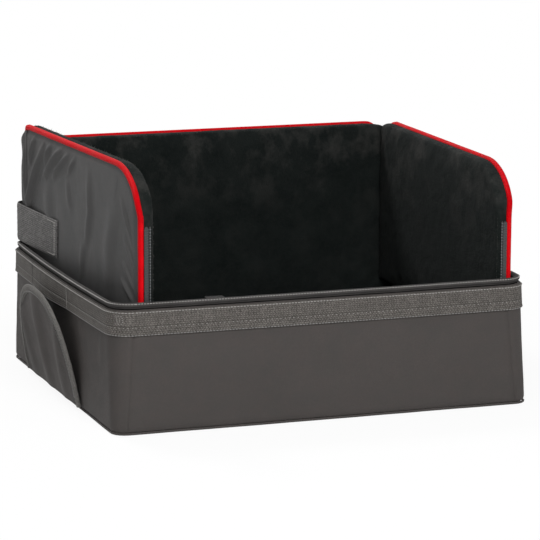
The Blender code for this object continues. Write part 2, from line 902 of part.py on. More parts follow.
def make_front_flap():
    """A padded flap hanging from its hinge behind the rim, zips on both edges."""
    pivot = add_pivot("front_flap_pivot", (0, front_hinge_y, front_hinge_z))
    wall_edges = {}
    for side, turn_deg in ((-1, left_wall_turn_deg), (1, right_wall_turn_deg)):
        wall_edges[side] = hinge_from_middle - wall_length * math.sin(math.radians(turn_deg))
    edge_reach = zip_side_clearance + zip_coil_radius + zip_flap_tape_width + 2 * contact_gap
    left = -(wall_edges[-1] - edge_reach)
    right = wall_edges[1] - edge_reach
    plush_low = (left, -flap_total, -flap_panel_height)
    plush_high = (right, -flap_total + front_flap_plush, 0)
    block("front_flap_plush", plush_low, plush_high, plush_black, pivot,
          plush_finish)
    block("front_flap_nylon", (left, -front_flap_nylon, -flap_panel_height), (right, 0, 0),
          wall_nylon, pivot)
    for name, side in (("left", -1), ("right", 1)):
        make_flap_zip(name, side, side * (wall_edges[side] - zip_side_clearance), pivot)


def make_flap_zip(name, side, coil_x, pivot):
    """The flap's half zip: tape, coil, slider and pull; side points outward."""
    level = zip_level - front_hinge_y
    foot = -flap_panel_height + flap_thickness
    tape_x = coil_x - side * (zip_coil_radius + contact_gap)
    tape_end_x = tape_x - side * zip_flap_tape_width
    low = (min(tape_x, tape_end_x), level - zip_tape_thickness / 2, foot)
    high = (max(tape_x, tape_end_x), level + zip_tape_thickness / 2, 0)
    block(f"{name}_flap_zip_tape", low, high, zip_grey, pivot)
    tube(f"{name}_flap_zip_coil", [(coil_x, level, foot), (coil_x, level, 0)],
         zip_coil_radius, zip_grey, pivot, finish=satin_finish)
    channel = zip_coil_radius + slider_channel_clearance
    outer_x = coil_x + side * (channel + slider_wall)
    inner_x = outer_x - side * slider_width
    top = -slider_below_hinge
    low = (min(outer_x, inner_x), level - channel - slider_wall, top - slider_length)
    high = (max(outer_x, inner_x), level + channel + slider_wall, top)
    slider = block(f"{name}_zip_slider", low, high, metal_grey, pivot,
                   metal_finish)
    wall_x = outer_x - side * slider_wall
    open_x = inner_x - side * cut_overrun
    cut = box_mesh((min(wall_x, open_x), level - channel, low[2] - cut_overrun),
                   (max(wall_x, open_x), level + channel, high[2] + cut_overrun))
    cut_away(slider, f"{name}_slider_channel", cut)
    pull_back = high[1]
    pull_top = low[2] - contact_gap
    block(f"{name}_zip_pull",
          (coil_x - pull_width / 2, pull_back - pull_thickness, pull_top - pull_length),
          (coil_x + pull_width / 2, pull_back, pull_top), metal_grey, pivot,
          metal_finish)


# Tether anchor

ring_y = box_depth / 2 - ring_from_rear
ring_half_width = tab_half_width + ring_past_tab
tab_foot = cushion_top + contact_gap
eye_radius = ring_wire_radius + ring_running_gap + tab_eye_wall
ring_z = tab_foot + eye_radius


def cross_cylinder(radius, half_length):
    """A cylinder along X about the ring's bar."""
    shape = bmesh.new()
    bmesh.ops.create_cone(shape, cap_ends=True, segments=eye_segments, radius1=radius,
                          radius2=radius, depth=2 * half_length)
    for vert in shape.verts:
        vert.co = Vector((vert.co.z, ring_y + vert.co.x, ring_z + vert.co.y))
    bmesh.ops.recalc_face_normals(shape, faces=shape.faces[:])
    return shape


def make_tether_anchor(insert):
    """A webbing tab sewn on the cushion, and the D ring that swings in its eye."""
    tab_end = hinge_y - tab_rear_margin
    tab = block("tether_tab", (-tab_half_width, ring_y, tab_foot),
                (tab_half_width, tab_end, tab_foot + tab_thickness), webbing_grey, insert)
    cut_away(tab, "tab_eye", cross_cylinder(eye_radius, tab_half_width), "UNION")
    bore = ring_wire_radius + ring_running_gap
    cut_away(tab, "tab_bore", cross_cylinder(bore, tab_half_width + cut_overrun))
    pivot = add_pivot("tether_ring_pivot", (0, ring_y, ring_z), parent=insert)
    straight = ring_half_width - ring_wire_radius
    route = [Vector((-straight, 0, 0)), Vector((straight, 0, 0))]
    for step in range(1, ring_arc_steps):
        turn = math.pi * step / ring_arc_steps
        route.append(Vector((ring_half_width * math.cos(turn),
                             -ring_length * math.sin(turn), 0)))
    tube("tether_ring", route, ring_wire_radius, metal_grey, pivot, closed=True,
         finish=metal_finish)


def make_car_seat():
    make_covers()
    make_boards()
    make_linings()
    make_floor()
    make_rim()
    make_webbing()
    make_belt_flap("left_belt_flap", -1)
    make_belt_flap("right_belt_flap", 1)
    make_front_flap()
    insert = add_pivot("insert_pivot", (0, 0, 0))
    walls = make_walls(insert)
    make_side_strap(walls["left_wall"])
    make_side_strap(walls["right_wall"])
    make_back_strap(insert)
    make_cushion(insert)
    make_tether_anchor(insert)


make_car_seat()
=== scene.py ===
"""Looks of the dog car seat: cloth box, padded insert, straps, zips, floor and camera."""
import math

import bmesh
import bpy
from mathutils import Matrix, Vector, noise


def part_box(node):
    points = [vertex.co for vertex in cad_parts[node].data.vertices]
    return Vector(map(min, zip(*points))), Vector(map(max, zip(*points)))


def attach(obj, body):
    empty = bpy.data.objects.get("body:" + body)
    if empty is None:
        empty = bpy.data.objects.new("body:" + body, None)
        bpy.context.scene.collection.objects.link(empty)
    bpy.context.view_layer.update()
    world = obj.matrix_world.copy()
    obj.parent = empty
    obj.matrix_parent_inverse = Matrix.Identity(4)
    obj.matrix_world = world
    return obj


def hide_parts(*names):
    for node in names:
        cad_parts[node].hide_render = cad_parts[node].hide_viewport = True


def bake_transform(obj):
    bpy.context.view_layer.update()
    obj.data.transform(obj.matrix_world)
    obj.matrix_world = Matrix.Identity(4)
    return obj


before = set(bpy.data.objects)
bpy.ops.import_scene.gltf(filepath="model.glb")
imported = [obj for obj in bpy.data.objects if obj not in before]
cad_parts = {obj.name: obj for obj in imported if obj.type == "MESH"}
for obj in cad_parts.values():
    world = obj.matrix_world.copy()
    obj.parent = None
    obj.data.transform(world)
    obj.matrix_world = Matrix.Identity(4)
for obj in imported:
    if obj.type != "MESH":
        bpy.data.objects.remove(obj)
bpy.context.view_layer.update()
signs = {"left": -1, "right": 1}
up_axis = Vector((0, 0, 1))

# Box, in metres, as in the solids
box_width = 0.450
box_depth = 0.390
panel_height = 0.1255
bottom_corner_radius = 0.015
top_corner_radius = 0.024
side_lean = 0.001
front_lean = 0.009
rear_lean = 0.001
side_bow = 0.004
front_bow = 0.002
cover_foot = 0.0036
cover_thickness = 0.0015
contact_gap = 0.0003
lining_inset = 0.0051
lining_face = lining_inset + 0.001
corner_share = 0.085
seam_width = 0.0032
seam_depth = 0.0011

# Rim
rim_roll_radius = 0.0032
rim_top = panel_height + contact_gap + 2 * rim_roll_radius
rim_steps = 1600
webbing_height = 0.025
webbing_thickness = 0.0015
webbing_top = panel_height - 0.001
webbing_line_rise = 0.38
belt_loop_front = 0.155
belt_loop_rear = 0.290
belt_loop_standoff = 0.004

# Belt flaps
flap_centre_y = 0.214 - box_depth / 2
flap_half_width = 0.100
flap_height = 0.1105
flap_thickness = 0.0045
flap_skin = 0.0020
flap_binding_width = 0.009
flap_lean = math.radians(10.5)
flap_hinge_height = 0.005
flap_hinge_x = box_width / 2 + contact_gap
flap_width_power = 2.35
flap_seam_sink = 0.0010

# Padded walls
wall_thickness = 0.018
hinge_x = 0.1985
hinge_y = 0.1675
wall_length = 0.3415
side_wall_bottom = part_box("left_wall_plush")[0].z
back_wall_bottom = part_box("back_wall_plush")[0].z
wall_tops = {"left_wall": 0.2630, "right_wall": 0.2470, "back_wall": 0.2450}
wall_turns = {"left_wall": math.radians(3.9), "right_wall": math.radians(-0.9)}
front_corner = (0.064, 0.052)
rear_corner = (0.012, 0.009)
back_corner = (0.035, 0.012)
back_corner_round = 0.016
front_corner_round = 0.006
crown_outside = 0.0025
nylon_thickness = 0.0012
nylon_inset = 0.0038
piping_inset = 0.0015
piping_level = -0.0165
piping_cord_radius = 0.0030
pad_outer = -(wall_thickness - nylon_thickness - 0.0002)
pad_inner = -0.0015
pad_seam_inset = 0.0022
pad_edge_roll = 0.003

# Cloth round the rear corners
corner_side_lap = 0.007
corner_back_lap = 0.026
corner_cloth_reach = 0.0189
corner_cloth_puff = 0.0016
corner_dip = 0.0105
corner_tuck = 0.0045
corner_start = 0.15
corner_end = 0.80

# Strap round the insert
strap_height = 0.041
strap_level = 0.1345 + strap_height / 2
strap_thickness = 0.0016
strap_sewn_end = 0.113
strap_clear = 0.0006
strap_corner_radius = 0.0225
strap_corner_slack = 0.0039
strap_corner_square = 0.004
strap_back_slack = 0.012
strap_split = 0.10

# Seat cushion
cushion_half_width = 0.209
cushion_front = -0.1747
cushion_rear = 0.1825
cushion_middle_y = (cushion_rear + cushion_front) / 2
cushion_half_depth = (cushion_rear - cushion_front) / 2
cushion_foot = 0.0089
cushion_top = 0.0575
cushion_seam = 0.049

# Mesh building
weld = 0.00001
cloth_frames = 20
cloth_growth = 0.02
stitch_lift = 0.0001
stitch_sizes = (0.0014, 0.00065, 0.0005)
tuft_spacing = 0.0011
tuft_radius = 0.00022
tooth_pitch = 0.0030

looks = bpy.data.collections.new("Looks")
bpy.context.scene.collection.children.link(looks)


def mix(low, high, share):
    return low + (high - low) * share


def ease(share):
    share = min(1, max(0, share))
    return share * share * (3 - 2 * share)


def dome(share):
    """1 in the middle of a run, falling to 0 at both of its ends."""
    return 1 - (2 * share - 1) ** 2


def ridge(away, width):
    """1 on a line, falling off within about a width to both sides."""
    return math.exp(-(away / width) ** 2)


def ripple(place, size):
    """Smooth noise from -1 to 1 whose swells are about a size across."""
    return noise.noise(Vector(place) / size)


def line_length(line):
    return sum((second - first).length for first, second in zip(line, line[1:]))


# Finishes

mix_colour_inputs = 6
mix_colour_output = 2


class Socket:
    """An output of a shader node that Python's signs work on."""

    def __init__(self, finish, link):
        self.finish = finish
        self.link = link

    def math(self, operation, *others):
        return self.finish.node("ShaderNodeMath", {"operation": operation}, self, *others)

    def __add__(self, other):
        return self.math("ADD", other)

    def __sub__(self, other):
        return self.math("SUBTRACT", other)

    def __mul__(self, other):
        return self.math("MULTIPLY", other)

    def __truediv__(self, other):
        return self.math("DIVIDE", other)

    def __rsub__(self, other):
        return self.finish.node("ShaderNodeMath", {"operation": "SUBTRACT"}, other, self)

    __radd__ = __add__
    __rmul__ = __mul__

    def wave(self, pitch):
        """A sine from 0 to 1 that repeats each pitch."""
        return self.swing(pitch) * 0.5 + 0.5

    def swing(self, pitch):
        """A sine from -1 to 1 that repeats each pitch."""
        return (self * (2 * math.pi / pitch)).math("SINE")

    def between(self, low, high):
        """0 below low, 1 above high, and even in between."""
        return self.finish.node("ShaderNodeMapRange", {"clamp": True}, self, low, high, 0, 1)


class Nodes:
    """A node tree that is put together from sockets."""

    def __init__(self, tree):
        self.tree = tree

    def node(self, kind, settings, *values, output=0, **named):
        """A node with its settings made, then its inputs linked or set, in order or by name."""
        node = self.tree.nodes.new(kind)
        for setting, value in settings.items():
            setattr(node, setting, value)
        for socket, value in zip(node.inputs, values):
            self.feed(socket, value)
        for socket, value in named.items():
            self.feed(node.inputs[socket], value)
        return Socket(self, node.outputs[output])

    def feed(self, socket, value):
        if isinstance(value, Socket):
            self.tree.links.new(value.link, socket)
        elif value is not None:
            socket.default_value = (*value, 1) if socket.type == "RGBA" else value

    def seen_directly(self):
        """1 for camera, mirror and glass rays, 0 for the light that falls on things."""
        total = self.node("ShaderNodeLightPath", {}, output="Is Camera Ray")
        for ray in ("Is Glossy Ray", "Is Transmission Ray"):
            more = self.node("ShaderNodeLightPath", {}, output=ray)
            total = self.node("ShaderNodeMath", {"operation": "ADD", "use_clamp": True}, total, more)
        return total


class Finish(Nodes):
    """A material and what its principled shader is fed."""

    def __init__(self, name, roughness, **plain):
        self.material = bpy.data.materials.new(name)
        self.material.use_nodes = True
        super().__init__(self.material.node_tree)
        self.shader = self.tree.nodes["Principled BSDF"]
        for socket, value in {"Roughness": roughness, **plain}.items():
            self.feed(self.shader.inputs[socket.replace("_", " ")], value)

    def place(self):
        return self.node("ShaderNodeTexCoord", {}, output="Object")

    def part(self, vector, axis):
        return self.node("ShaderNodeSeparateXYZ", {}, vector, output=axis)

    def cloth(self):
        """How far along and across its flat cloth a point lies, in metres."""
        flat = self.node("ShaderNodeUVMap", {"uv_map": "cloth"})
        return self.part(flat, "X"), self.part(flat, "Y")

    def cloud(self, vector, size, detail=2, coarse=0.5, scale=None):
        """Noise from 0 to 1 whose swells are about a size across."""
        if scale:
            vector = self.node("ShaderNodeVectorMath", {"operation": "MULTIPLY"}, vector, scale)
        return self.node("ShaderNodeTexNoise", {}, vector, None, 1 / size, detail, coarse)

    def paint(self, tone, *layers):
        """Colour a ground, then each layer's colour laid over it by the layer's share."""
        for share, colour in layers:
            between = (None,) * (mix_colour_inputs - 1)
            tone = self.node("ShaderNodeMix", {"data_type": "RGBA"}, share, *between, tone, colour,
                             output=mix_colour_output)
        self.feed(self.shader.inputs["Base Color"], tone)

    def rough(self, value):
        self.feed(self.shader.inputs["Roughness"], value)

    def embossed(self, height, distance):
        """The material, with bump of a height from 0 to 1 that stands for metres."""
        bump = self.node("ShaderNodeBump", {}, Strength=1, Distance=distance, Height=height)
        self.feed(self.shader.inputs["Normal"], bump)
        return self.material


def shade(colour, factor):
    return tuple(channel * factor for channel in colour)


def nylon(name, colour, cool, crinkle=0.0, gloss=0.12):
    """Fine plain-woven nylon, mottled between a warm and a cool tone."""
    finish = Finish(name, 0.62, Specular_IOR_Level=gloss)
    place = finish.place()
    across, up = finish.cloth()
    thread = 0.0008
    weave = across.swing(thread) * up.swing(thread) * 0.5 + 0.5
    blotch = finish.cloud(place, 0.016, 3, 0.6)
    broad = finish.cloud(place, 0.09)
    grain = finish.cloud(place, 0.0022, 2, 0.7)
    finish.paint(colour, (blotch.between(0.35, 0.65), cool),
                 (broad.between(0.3, 0.7) * 0.5, shade(colour, 1.20)),
                 (grain.between(0.3, 0.7) * 0.40, shade(colour, 0.78)),
                 (weave * 0.22, shade(colour, 1.35)))
    finish.rough(0.56 + blotch * 0.14)
    soft = finish.cloud(place, 0.012, 3, 0.55, (1.0, 1.0, 0.45))
    return finish.embossed(weave * 0.12 + grain * 0.13 + soft * crinkle, 0.0009)


def webbing(name, dark, light, width, line_share, line_depth):
    """Heathered webbing in a zigzag twill, with a plain dark line along it."""
    finish = Finish(name, 0.78, Specular_IOR_Level=0.3)
    place = finish.place()
    along, across = finish.cloth()
    twill = (along + across.math("PINGPONG", 0.0023)).wave(0.0029)
    pick = across.wave(0.0021)
    speck = finish.cloud(place, 0.0017, 2, 0.8)
    patch = finish.cloud(place, 0.010)
    from_line = (across / width - line_share).math("ABSOLUTE")
    line = 1 - (1 - from_line.between(0.01, 0.04)) * line_depth
    light_share = (twill * pick * 0.70 + speck.between(0.38, 0.62) * 0.50 - 0.04) * line
    finish.paint(dark, (light_share, light), (patch.between(0.4, 0.75) * 0.35, shade(dark, 0.8)))
    return finish.embossed(twill * 0.4 * line + pick * 0.2 + speck * 0.4, 0.0009)


def plush(name):
    """Short black pile, brushed into soft lighter and darker patches, with painted shade low down."""
    finish = Finish(name, 0.95, Sheen_Weight=0.012, Specular_IOR_Level=0.1)
    place = finish.place()
    nap = finish.cloud(place, 0.022, 3, 0.6)
    tuft = finish.cloud(place, 0.004, 3, 0.7)
    hair = finish.cloud(place, 0.0011, 2, 0.8, (1.0, 1.0, 0.5))
    patch = finish.cloud(place, 0.030, 4, 0.65, (1.0, 1.0, 0.8))
    # Painted shade: the lighter patches fade out below 0.25 m, low in the box where shade falls.
    painted_light_by_height = finish.part(place, "Z").between(0.15, 0.25) * 0.85 + 0.15
    finish.paint((0.0032, 0.0052, 0.0048), (nap.between(0.3, 0.75), (0.0080, 0.0104, 0.0097)),
                 (patch.between(0.46, 0.66) * painted_light_by_height, (0.0320, 0.0320, 0.0300)),
                 (tuft.between(0.4, 0.8) * 0.5, (0.0115, 0.0125, 0.0118)),
                 (hair.between(0.55, 0.9) * 0.35, (0.028, 0.028, 0.026)))
    return finish.embossed(tuft * 0.5 + hair * 0.5, 0.0016)


def red_cloth(name):
    """Bias tape in a fine twill, for the piping."""
    finish = Finish(name, 0.5, Specular_IOR_Level=0.06)
    along, across = finish.cloth()
    twill = (along + across * 0.6).wave(0.0011)
    wear = finish.cloud(finish.place(), 0.009, 3)
    finish.paint((0.58, 0.0006, 0.0042), (wear.between(0.3, 0.7), (0.68, 0.0012, 0.0070)),
                 (twill * 0.25, (0.38, 0.0008, 0.0030)))
    finish.rough(0.40 + wear * 0.2)
    return finish.embossed(twill, 0.0003)


def lining_cloth(name, colour):
    """Matt plain cloth, dusted lighter in patches."""
    finish = Finish(name, 0.85, Specular_IOR_Level=0.2)
    across, up = finish.cloth()
    weave = across.swing(0.0013) * up.swing(0.0013) * 0.5 + 0.5
    dust = finish.cloud(finish.place(), 0.02, 3)
    finish.paint(colour, (dust.between(0.3, 0.7), shade(colour, 1.5)),
                 (weave * 0.3, shade(colour, 2.0)))
    return finish.embossed(weave * 0.5 + dust * 0.5, 0.0008)


def binding_tape(name, dark, light):
    """Soft edge tape whose brushed fibres catch the light."""
    finish = Finish(name, 0.9, Sheen_Weight=0.05, Specular_IOR_Level=0.2)
    fuzz = finish.cloud(finish.place(), 0.0012, 3, 0.8)
    patch = finish.cloud(finish.place(), 0.006)
    finish.paint(dark, (fuzz.between(0.3, 0.75), light), (patch * 0.3, dark))
    return finish.embossed(fuzz, 0.0009)


def thread(name, colour):
    finish = Finish(name, 0.6)
    twist = finish.cloud(finish.place(), 0.0008)
    finish.paint(shade(colour, 0.75), (twist.between(0.3, 0.7), colour))
    return finish.embossed(twist, 0.0002)


def zip_cloth(name, colour):
    finish = Finish(name, 0.8)
    along, across = finish.cloth()
    knit = (along + across * 0.7).swing(0.0025) * across.swing(0.0026) * 0.5 + 0.5
    speck = finish.cloud(finish.place(), 0.002)
    finish.paint(shade(colour, 0.35), (knit, shade(colour, 1.65)), (speck * 0.4, colour))
    return finish.embossed(knit, 0.0004)


def moulded(name, colour, roughness):
    finish = Finish(name, roughness)
    haze = finish.cloud(finish.place(), 0.003, 3)
    finish.paint(shade(colour, 0.8), (haze, shade(colour, 1.2)))
    finish.rough(roughness - 0.06 + haze * 0.12)
    return finish.embossed(haze, 0.0001)


def metal(name, colour, roughness, brushed):
    """Plated or painted metal with fine scuffs, worn brighter in patches."""
    finish = Finish(name, roughness, Metallic=1.0)
    scuff = finish.cloud(finish.place(), 0.0015, 3, 0.7, brushed)
    wear = finish.cloud(finish.place(), 0.006, 3)
    finish.paint(shade(colour, 0.8), (scuff.between(0.3, 0.7), colour),
                 (wear.between(0.55, 0.8) * 0.5, shade(colour, 1.3)))
    finish.rough(roughness - 0.05 + scuff * 0.2)
    return finish.embossed(scuff, 0.00005)


def fibre_board(name):
    finish = Finish(name, 0.9)
    fibre = finish.cloud(finish.place(), 0.003, 4, 0.7, (1.0, 1.0, 3.0))
    finish.paint((0.19, 0.18, 0.16), (fibre, (0.31, 0.30, 0.27)))
    return finish.embossed(fibre, 0.0004)


box_nylon = nylon("box_nylon", (0.0540, 0.0475, 0.0450), (0.0480, 0.0457, 0.0435))
wall_nylon = nylon("wall_nylon", (0.0485, 0.0468, 0.0462), (0.0465, 0.0467, 0.0472), 0.22, 0.30)
rim_webbing_cloth = webbing("rim_webbing_cloth", (0.032, 0.028, 0.025), (0.168, 0.155, 0.142),
                            webbing_height, webbing_line_rise, 0.5)
strap_webbing = webbing("strap_webbing", (0.018, 0.0175, 0.0175), (0.290, 0.280, 0.272),
                        strap_height, 0.5, 0.0)
black_plush = plush("black_plush")
piping_red = red_cloth("piping_red")
black_lining = lining_cloth("black_lining", (0.010, 0.011, 0.011))
rolled_edge = lining_cloth("rolled_edge", (0.036, 0.034, 0.033))
edge_tape = binding_tape("edge_tape", (0.050, 0.048, 0.045), (0.270, 0.258, 0.242))
grey_thread = thread("grey_thread", (0.300, 0.288, 0.275))
dark_thread = thread("dark_thread", (0.20, 0.195, 0.19))
pile_hair = thread("pile_hair", (0.045, 0.042, 0.038))
zip_tape_cloth = zip_cloth("zip_tape_cloth", (0.035, 0.036, 0.037))
zip_coil_plastic = moulded("zip_coil_plastic", (0.085, 0.088, 0.092), 0.42)
slider_paint = metal("slider_paint", (0.30, 0.30, 0.31), 0.42, (1.0, 1.0, 0.2))
ring_steel = metal("ring_steel", (0.62, 0.62, 0.64), 0.26, (0.2, 1.0, 1.0))
board_pulp = fibre_board("board_pulp")


# Mesh building

def finished(name, shape, material, sharp_deg=50):
    """An object made of a bmesh, with its faces outward and smooth."""
    bmesh.ops.remove_doubles(shape, verts=shape.verts[:], dist=weld)
    bmesh.ops.recalc_face_normals(shape, faces=shape.faces[:])
    mesh = bpy.data.meshes.new(name)
    shape.to_mesh(mesh)
    shape.free()
    mesh.materials.append(material)
    mesh.shade_smooth()
    mesh.set_sharp_from_angle(angle=math.radians(sharp_deg))
    piece = bpy.data.objects.new(name, mesh)
    looks.objects.link(piece)
    return piece


def trim(piece, body, node):
    """Put a piece on a body; the node is not used."""
    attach(piece, body)
    return piece


def dress(piece, body, node, *others):
    """Put a piece on a body, in the place of a node and of others inside it."""
    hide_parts(node, *others)
    return trim(piece, body, node)


def lay_cloth_map(shape, size):
    """A UV map in metres, read from where each vertex of the grid still lies."""
    layer = shape.loops.layers.uv.new("cloth")
    for face in shape.faces:
        for loop in face.loops:
            spot = loop.vert.co
            loop[layer].uv = ((spot.x + 1) / 2 * size[0], (spot.y + 1) / 2 * size[1])


def put_in_order(shape):
    """Sort a grid's parts by place, since an extrusion leaves them in another order each run."""
    def rank(*verts):
        middle = sum((vert.co for vert in verts), Vector()) / len(verts)
        return middle.x * 1e6 + middle.y * 1e3 + middle.z

    shape.verts.sort(key=rank)
    for parts in (shape.edges, shape.faces):
        parts.sort(key=lambda part: rank(*part.verts))


def sheet_shape(point, columns, rows, size, rim_cuts=0):
    """A closed sheet laid over point(u, v, depth), with depth 0 outside and 1 inside."""
    shape = bmesh.new()
    bmesh.ops.create_grid(shape, x_segments=columns, y_segments=rows, size=1)
    lifted = bmesh.ops.extrude_face_region(shape, geom=shape.faces[:], use_keep_orig=True)
    for item in lifted["geom"]:
        if isinstance(item, bmesh.types.BMVert):
            item.co.z = 1
    if rim_cuts:
        rim = [edge for edge in shape.edges if edge.verts[0].co.z != edge.verts[1].co.z]
        bmesh.ops.subdivide_edges(shape, edges=rim, cuts=rim_cuts)
    put_in_order(shape)
    lay_cloth_map(shape, size)
    for vert in shape.verts:
        vert.co = point((vert.co.x + 1) / 2, (vert.co.y + 1) / 2, vert.co.z)
    return shape


def loop_shape(point, columns, rows, size, closed=False):
    """A tube laid over point(u, v), where v runs round it; its ends are capped or joined."""
    shape = bmesh.new()
    bmesh.ops.create_grid(shape, x_segments=columns, y_segments=rows, size=1)
    lay_cloth_map(shape, size)
    for vert in shape.verts:
        vert.co = point((vert.co.x + 1) / 2, (vert.co.y + 1) / 2)
    bmesh.ops.remove_doubles(shape, verts=shape.verts[:], dist=weld)
    if not closed:
        ends = [edge for edge in shape.edges if edge.is_boundary]
        bmesh.ops.holes_fill(shape, edges=ends, sides=0)
    return shape


def band_shape(point, columns, rows, size, closed=False):
    """A flat band laid over point(u, rise, outer): its outer face, then its inner one."""
    steps = 2 * (rows + 1)

    def around(u, v):
        step = round(v * steps) % steps
        outer = step <= rows
        return point(u, (step if outer else steps - 1 - step) / rows, outer)

    return loop_shape(around, columns, steps, (size[0], size[1] * steps / rows), closed)


def round_section(turn):
    return 1


def tube(name, path, radii, reference, material, closed=False, sides=14, section=round_section):
    """A tube of an oval section along a path; reference points out of the path's plane."""
    columns = len(path) if closed else len(path) - 1

    def point(u, v):
        step = round(u * columns)
        here = path[step % len(path)]
        before = path[step - 1] if closed or step else here
        after = path[(step + 1) % len(path)] if closed or step < columns else here
        heading = (after - before).normalized()
        side = heading.cross(reference).normalized()
        top = side.cross(heading)
        turn = 2 * math.pi * v
        out = side * radii[0] * math.cos(turn) + top * radii[1] * math.sin(turn)
        return here + out * section(turn)

    size = (line_length(path), math.pi * sum(radii))
    return finished(name, loop_shape(point, columns, sides, size, closed), material, 80)


def walk(line, pitch, start):
    """Places at even steps along a line of points, each with its heading."""
    travelled, wanted = 0.0, start
    for first, second in zip(line, line[1:]):
        step = (second - first).length
        while step and wanted <= travelled + step:
            yield first.lerp(second, (wanted - travelled) / step), (second - first) / step
            wanted += pitch
        travelled += step


def add_bead(shape, place, heading, outward, sizes):
    """A small egg of given half sizes along, across and out."""
    across = outward.cross(heading).normalized()
    out = heading.cross(across).normalized()
    turned = Matrix((heading * sizes[0], across * sizes[1], out * sizes[2])).transposed()
    matrix = Matrix.Translation(place) @ turned.to_4x4()
    bmesh.ops.create_icosphere(shape, subdivisions=1, radius=1, matrix=matrix)


def stitch_line(shape, line, outward, pitch=0.0034, sizes=stitch_sizes, start=0.0012):
    """Thread stitches along a line, standing on the side that outward gives."""
    for place, heading in walk(line, pitch, start):
        facing = outward(place) if callable(outward) else outward
        add_bead(shape, place, heading, facing, sizes)


# Box

def side_plan(side, share, height, inset):
    """A point in plan on one side of the box; left and right take in its corners."""
    rise = height / panel_height
    half_width = box_width / 2 - side_lean * rise
    front = -box_depth / 2 + front_lean * rise
    rear = box_depth / 2 - rear_lean * rise
    corner = mix(bottom_corner_radius, top_corner_radius, rise)
    if side not in signs:
        across = mix(corner - half_width, half_width - corner, share)
        bow = front_bow * rise * dome(share)
        return Vector((across, front + inset - bow if side == "front" else rear - inset + bow))
    centre = signs[side] * (half_width - corner)
    arc = corner - inset
    if corner_share <= share <= 1 - corner_share:
        middle = (share - corner_share) / (1 - 2 * corner_share)
        bow = side_bow * rise * dome(middle)
        return Vector((centre + signs[side] * (arc + bow),
                       mix(front + corner, rear - corner, middle)))
    at_front = share < corner_share
    reach = corner_share - share if at_front else share - 1 + corner_share
    turn = math.pi / 2 * reach / corner_share
    end, away = (front + corner, -arc) if at_front else (rear - corner, arc)
    return Vector((centre + signs[side] * arc * math.cos(turn), end + away * math.sin(turn)))


ring_sides = (("front", False), ("right", False), ("rear", True), ("left", True))


def ring_plan(share, height, inset):
    """A point in plan all round the box, from the front's left end by the right side."""
    quarter = min(3, int(share * 4))
    side, backwards = ring_sides[quarter]
    part = share * 4 - quarter
    return side_plan(side, 1 - part if backwards else part, height, inset)


def panel_flat_length(side):
    return line_length([side_plan(side, step / 60, panel_height / 2, 0) for step in range(61)])


perimeter = 2 * (panel_flat_length("front") + panel_flat_length("left"))


# Folds of the nylon: points as shares along and up a panel, width and height in metres
side_wall_folds = (
    (((0.17, 0.92), (0.11, 0.79), (0.04, 0.62), (0.02, 0.50)), 0.0058, 0.0062),
    (((0.35, 0.97), (0.28, 0.89), (0.20, 0.79)), 0.0040, 0.0052),
    (((0.41, 0.95), (0.34, 0.87), (0.28, 0.80)), 0.0034, 0.0040),
    (((0.47, 0.94), (0.42, 0.85)), 0.0032, 0.0030),
    (((0.09, 0.97), (0.04, 0.82)), 0.0038, 0.0036),
    (((0.25, 0.97), (0.19, 0.86)), 0.0036, 0.0034),
    (((0.41, 0.82), (0.44, 0.66)), 0.0060, 0.0018),
    (((0.60, 0.90), (0.62, 0.70), (0.58, 0.50)), 0.0055, 0.0027),
    (((0.56, 0.52), (0.54, 0.36)), 0.0060, 0.0020),
    (((0.22, 0.72), (0.25, 0.50)), 0.0110, 0.0024),
    (((0.82, 0.78), (0.78, 0.55), (0.77, 0.32)), 0.0140, 0.0030),
    (((0.88, 0.84), (0.95, 0.72)), 0.0036, 0.0020),
    (((0.90, 0.66), (0.985, 0.56)), 0.0034, 0.0020),
    (((0.89, 0.52), (0.985, 0.44)), 0.0034, 0.0018),
    (((0.87, 0.42), (0.985, 0.36)), 0.0040, 0.0018),
)
back_wall_folds = (
    (((0.10, 0.94), (0.14, 0.72)), 0.0045, 0.0018),
    (((0.26, 0.96), (0.28, 0.80)), 0.0036, 0.0014),
    (((0.45, 0.97), (0.44, 0.78)), 0.0044, 0.0015),
    (((0.64, 0.95), (0.60, 0.76)), 0.0034, 0.0013),
    (((0.80, 0.96), (0.83, 0.74)), 0.0045, 0.0018),
    (((0.92, 0.90), (0.97, 0.66)), 0.0040, 0.0016),
)
front_folds = (
    (((0.986, 0.80), (0.992, 0.60), (0.990, 0.40)), 0.0060, 0.0011),
    (((0.955, 0.80), (0.972, 0.66)), 0.0045, 0.0009),
    (((0.012, 0.80), (0.020, 0.62)), 0.0040, 0.0009),
    (((0.05, 0.78), (0.09, 0.70)), 0.0070, 0.0006),
    (((0.34, 0.20), (0.62, 0.26)), 0.0160, 0.0006),
    (((0.68, 0.62), (0.90, 0.50)), 0.0150, 0.0006),
    (((0.16, 0.55), (0.34, 0.44)), 0.0160, 0.0006),
)
side_folds = (
    (((0.30, 0.78), (0.26, 0.50)), 0.0080, 0.0011),
    (((0.12, 0.76), (0.14, 0.55)), 0.0060, 0.0009),
    (((0.86, 0.74), (0.88, 0.40)), 0.0090, 0.0009),
    (((0.18, 0.16), (0.34, 0.20)), 0.0120, 0.0007),
)


def laid_folds(folds, size):
    """Folds with their points in metres on a cloth of a size, and how far each reaches."""
    laid = []
    for points, width, height in folds:
        line = [Vector((along * size[0], up * size[1])) for along, up in points]
        middle = (line[0] + line[-1]) / 2
        reach = max((spot - middle).length for spot in line) + 4 * width
        laid.append((line, width, height, middle, reach))
    return laid


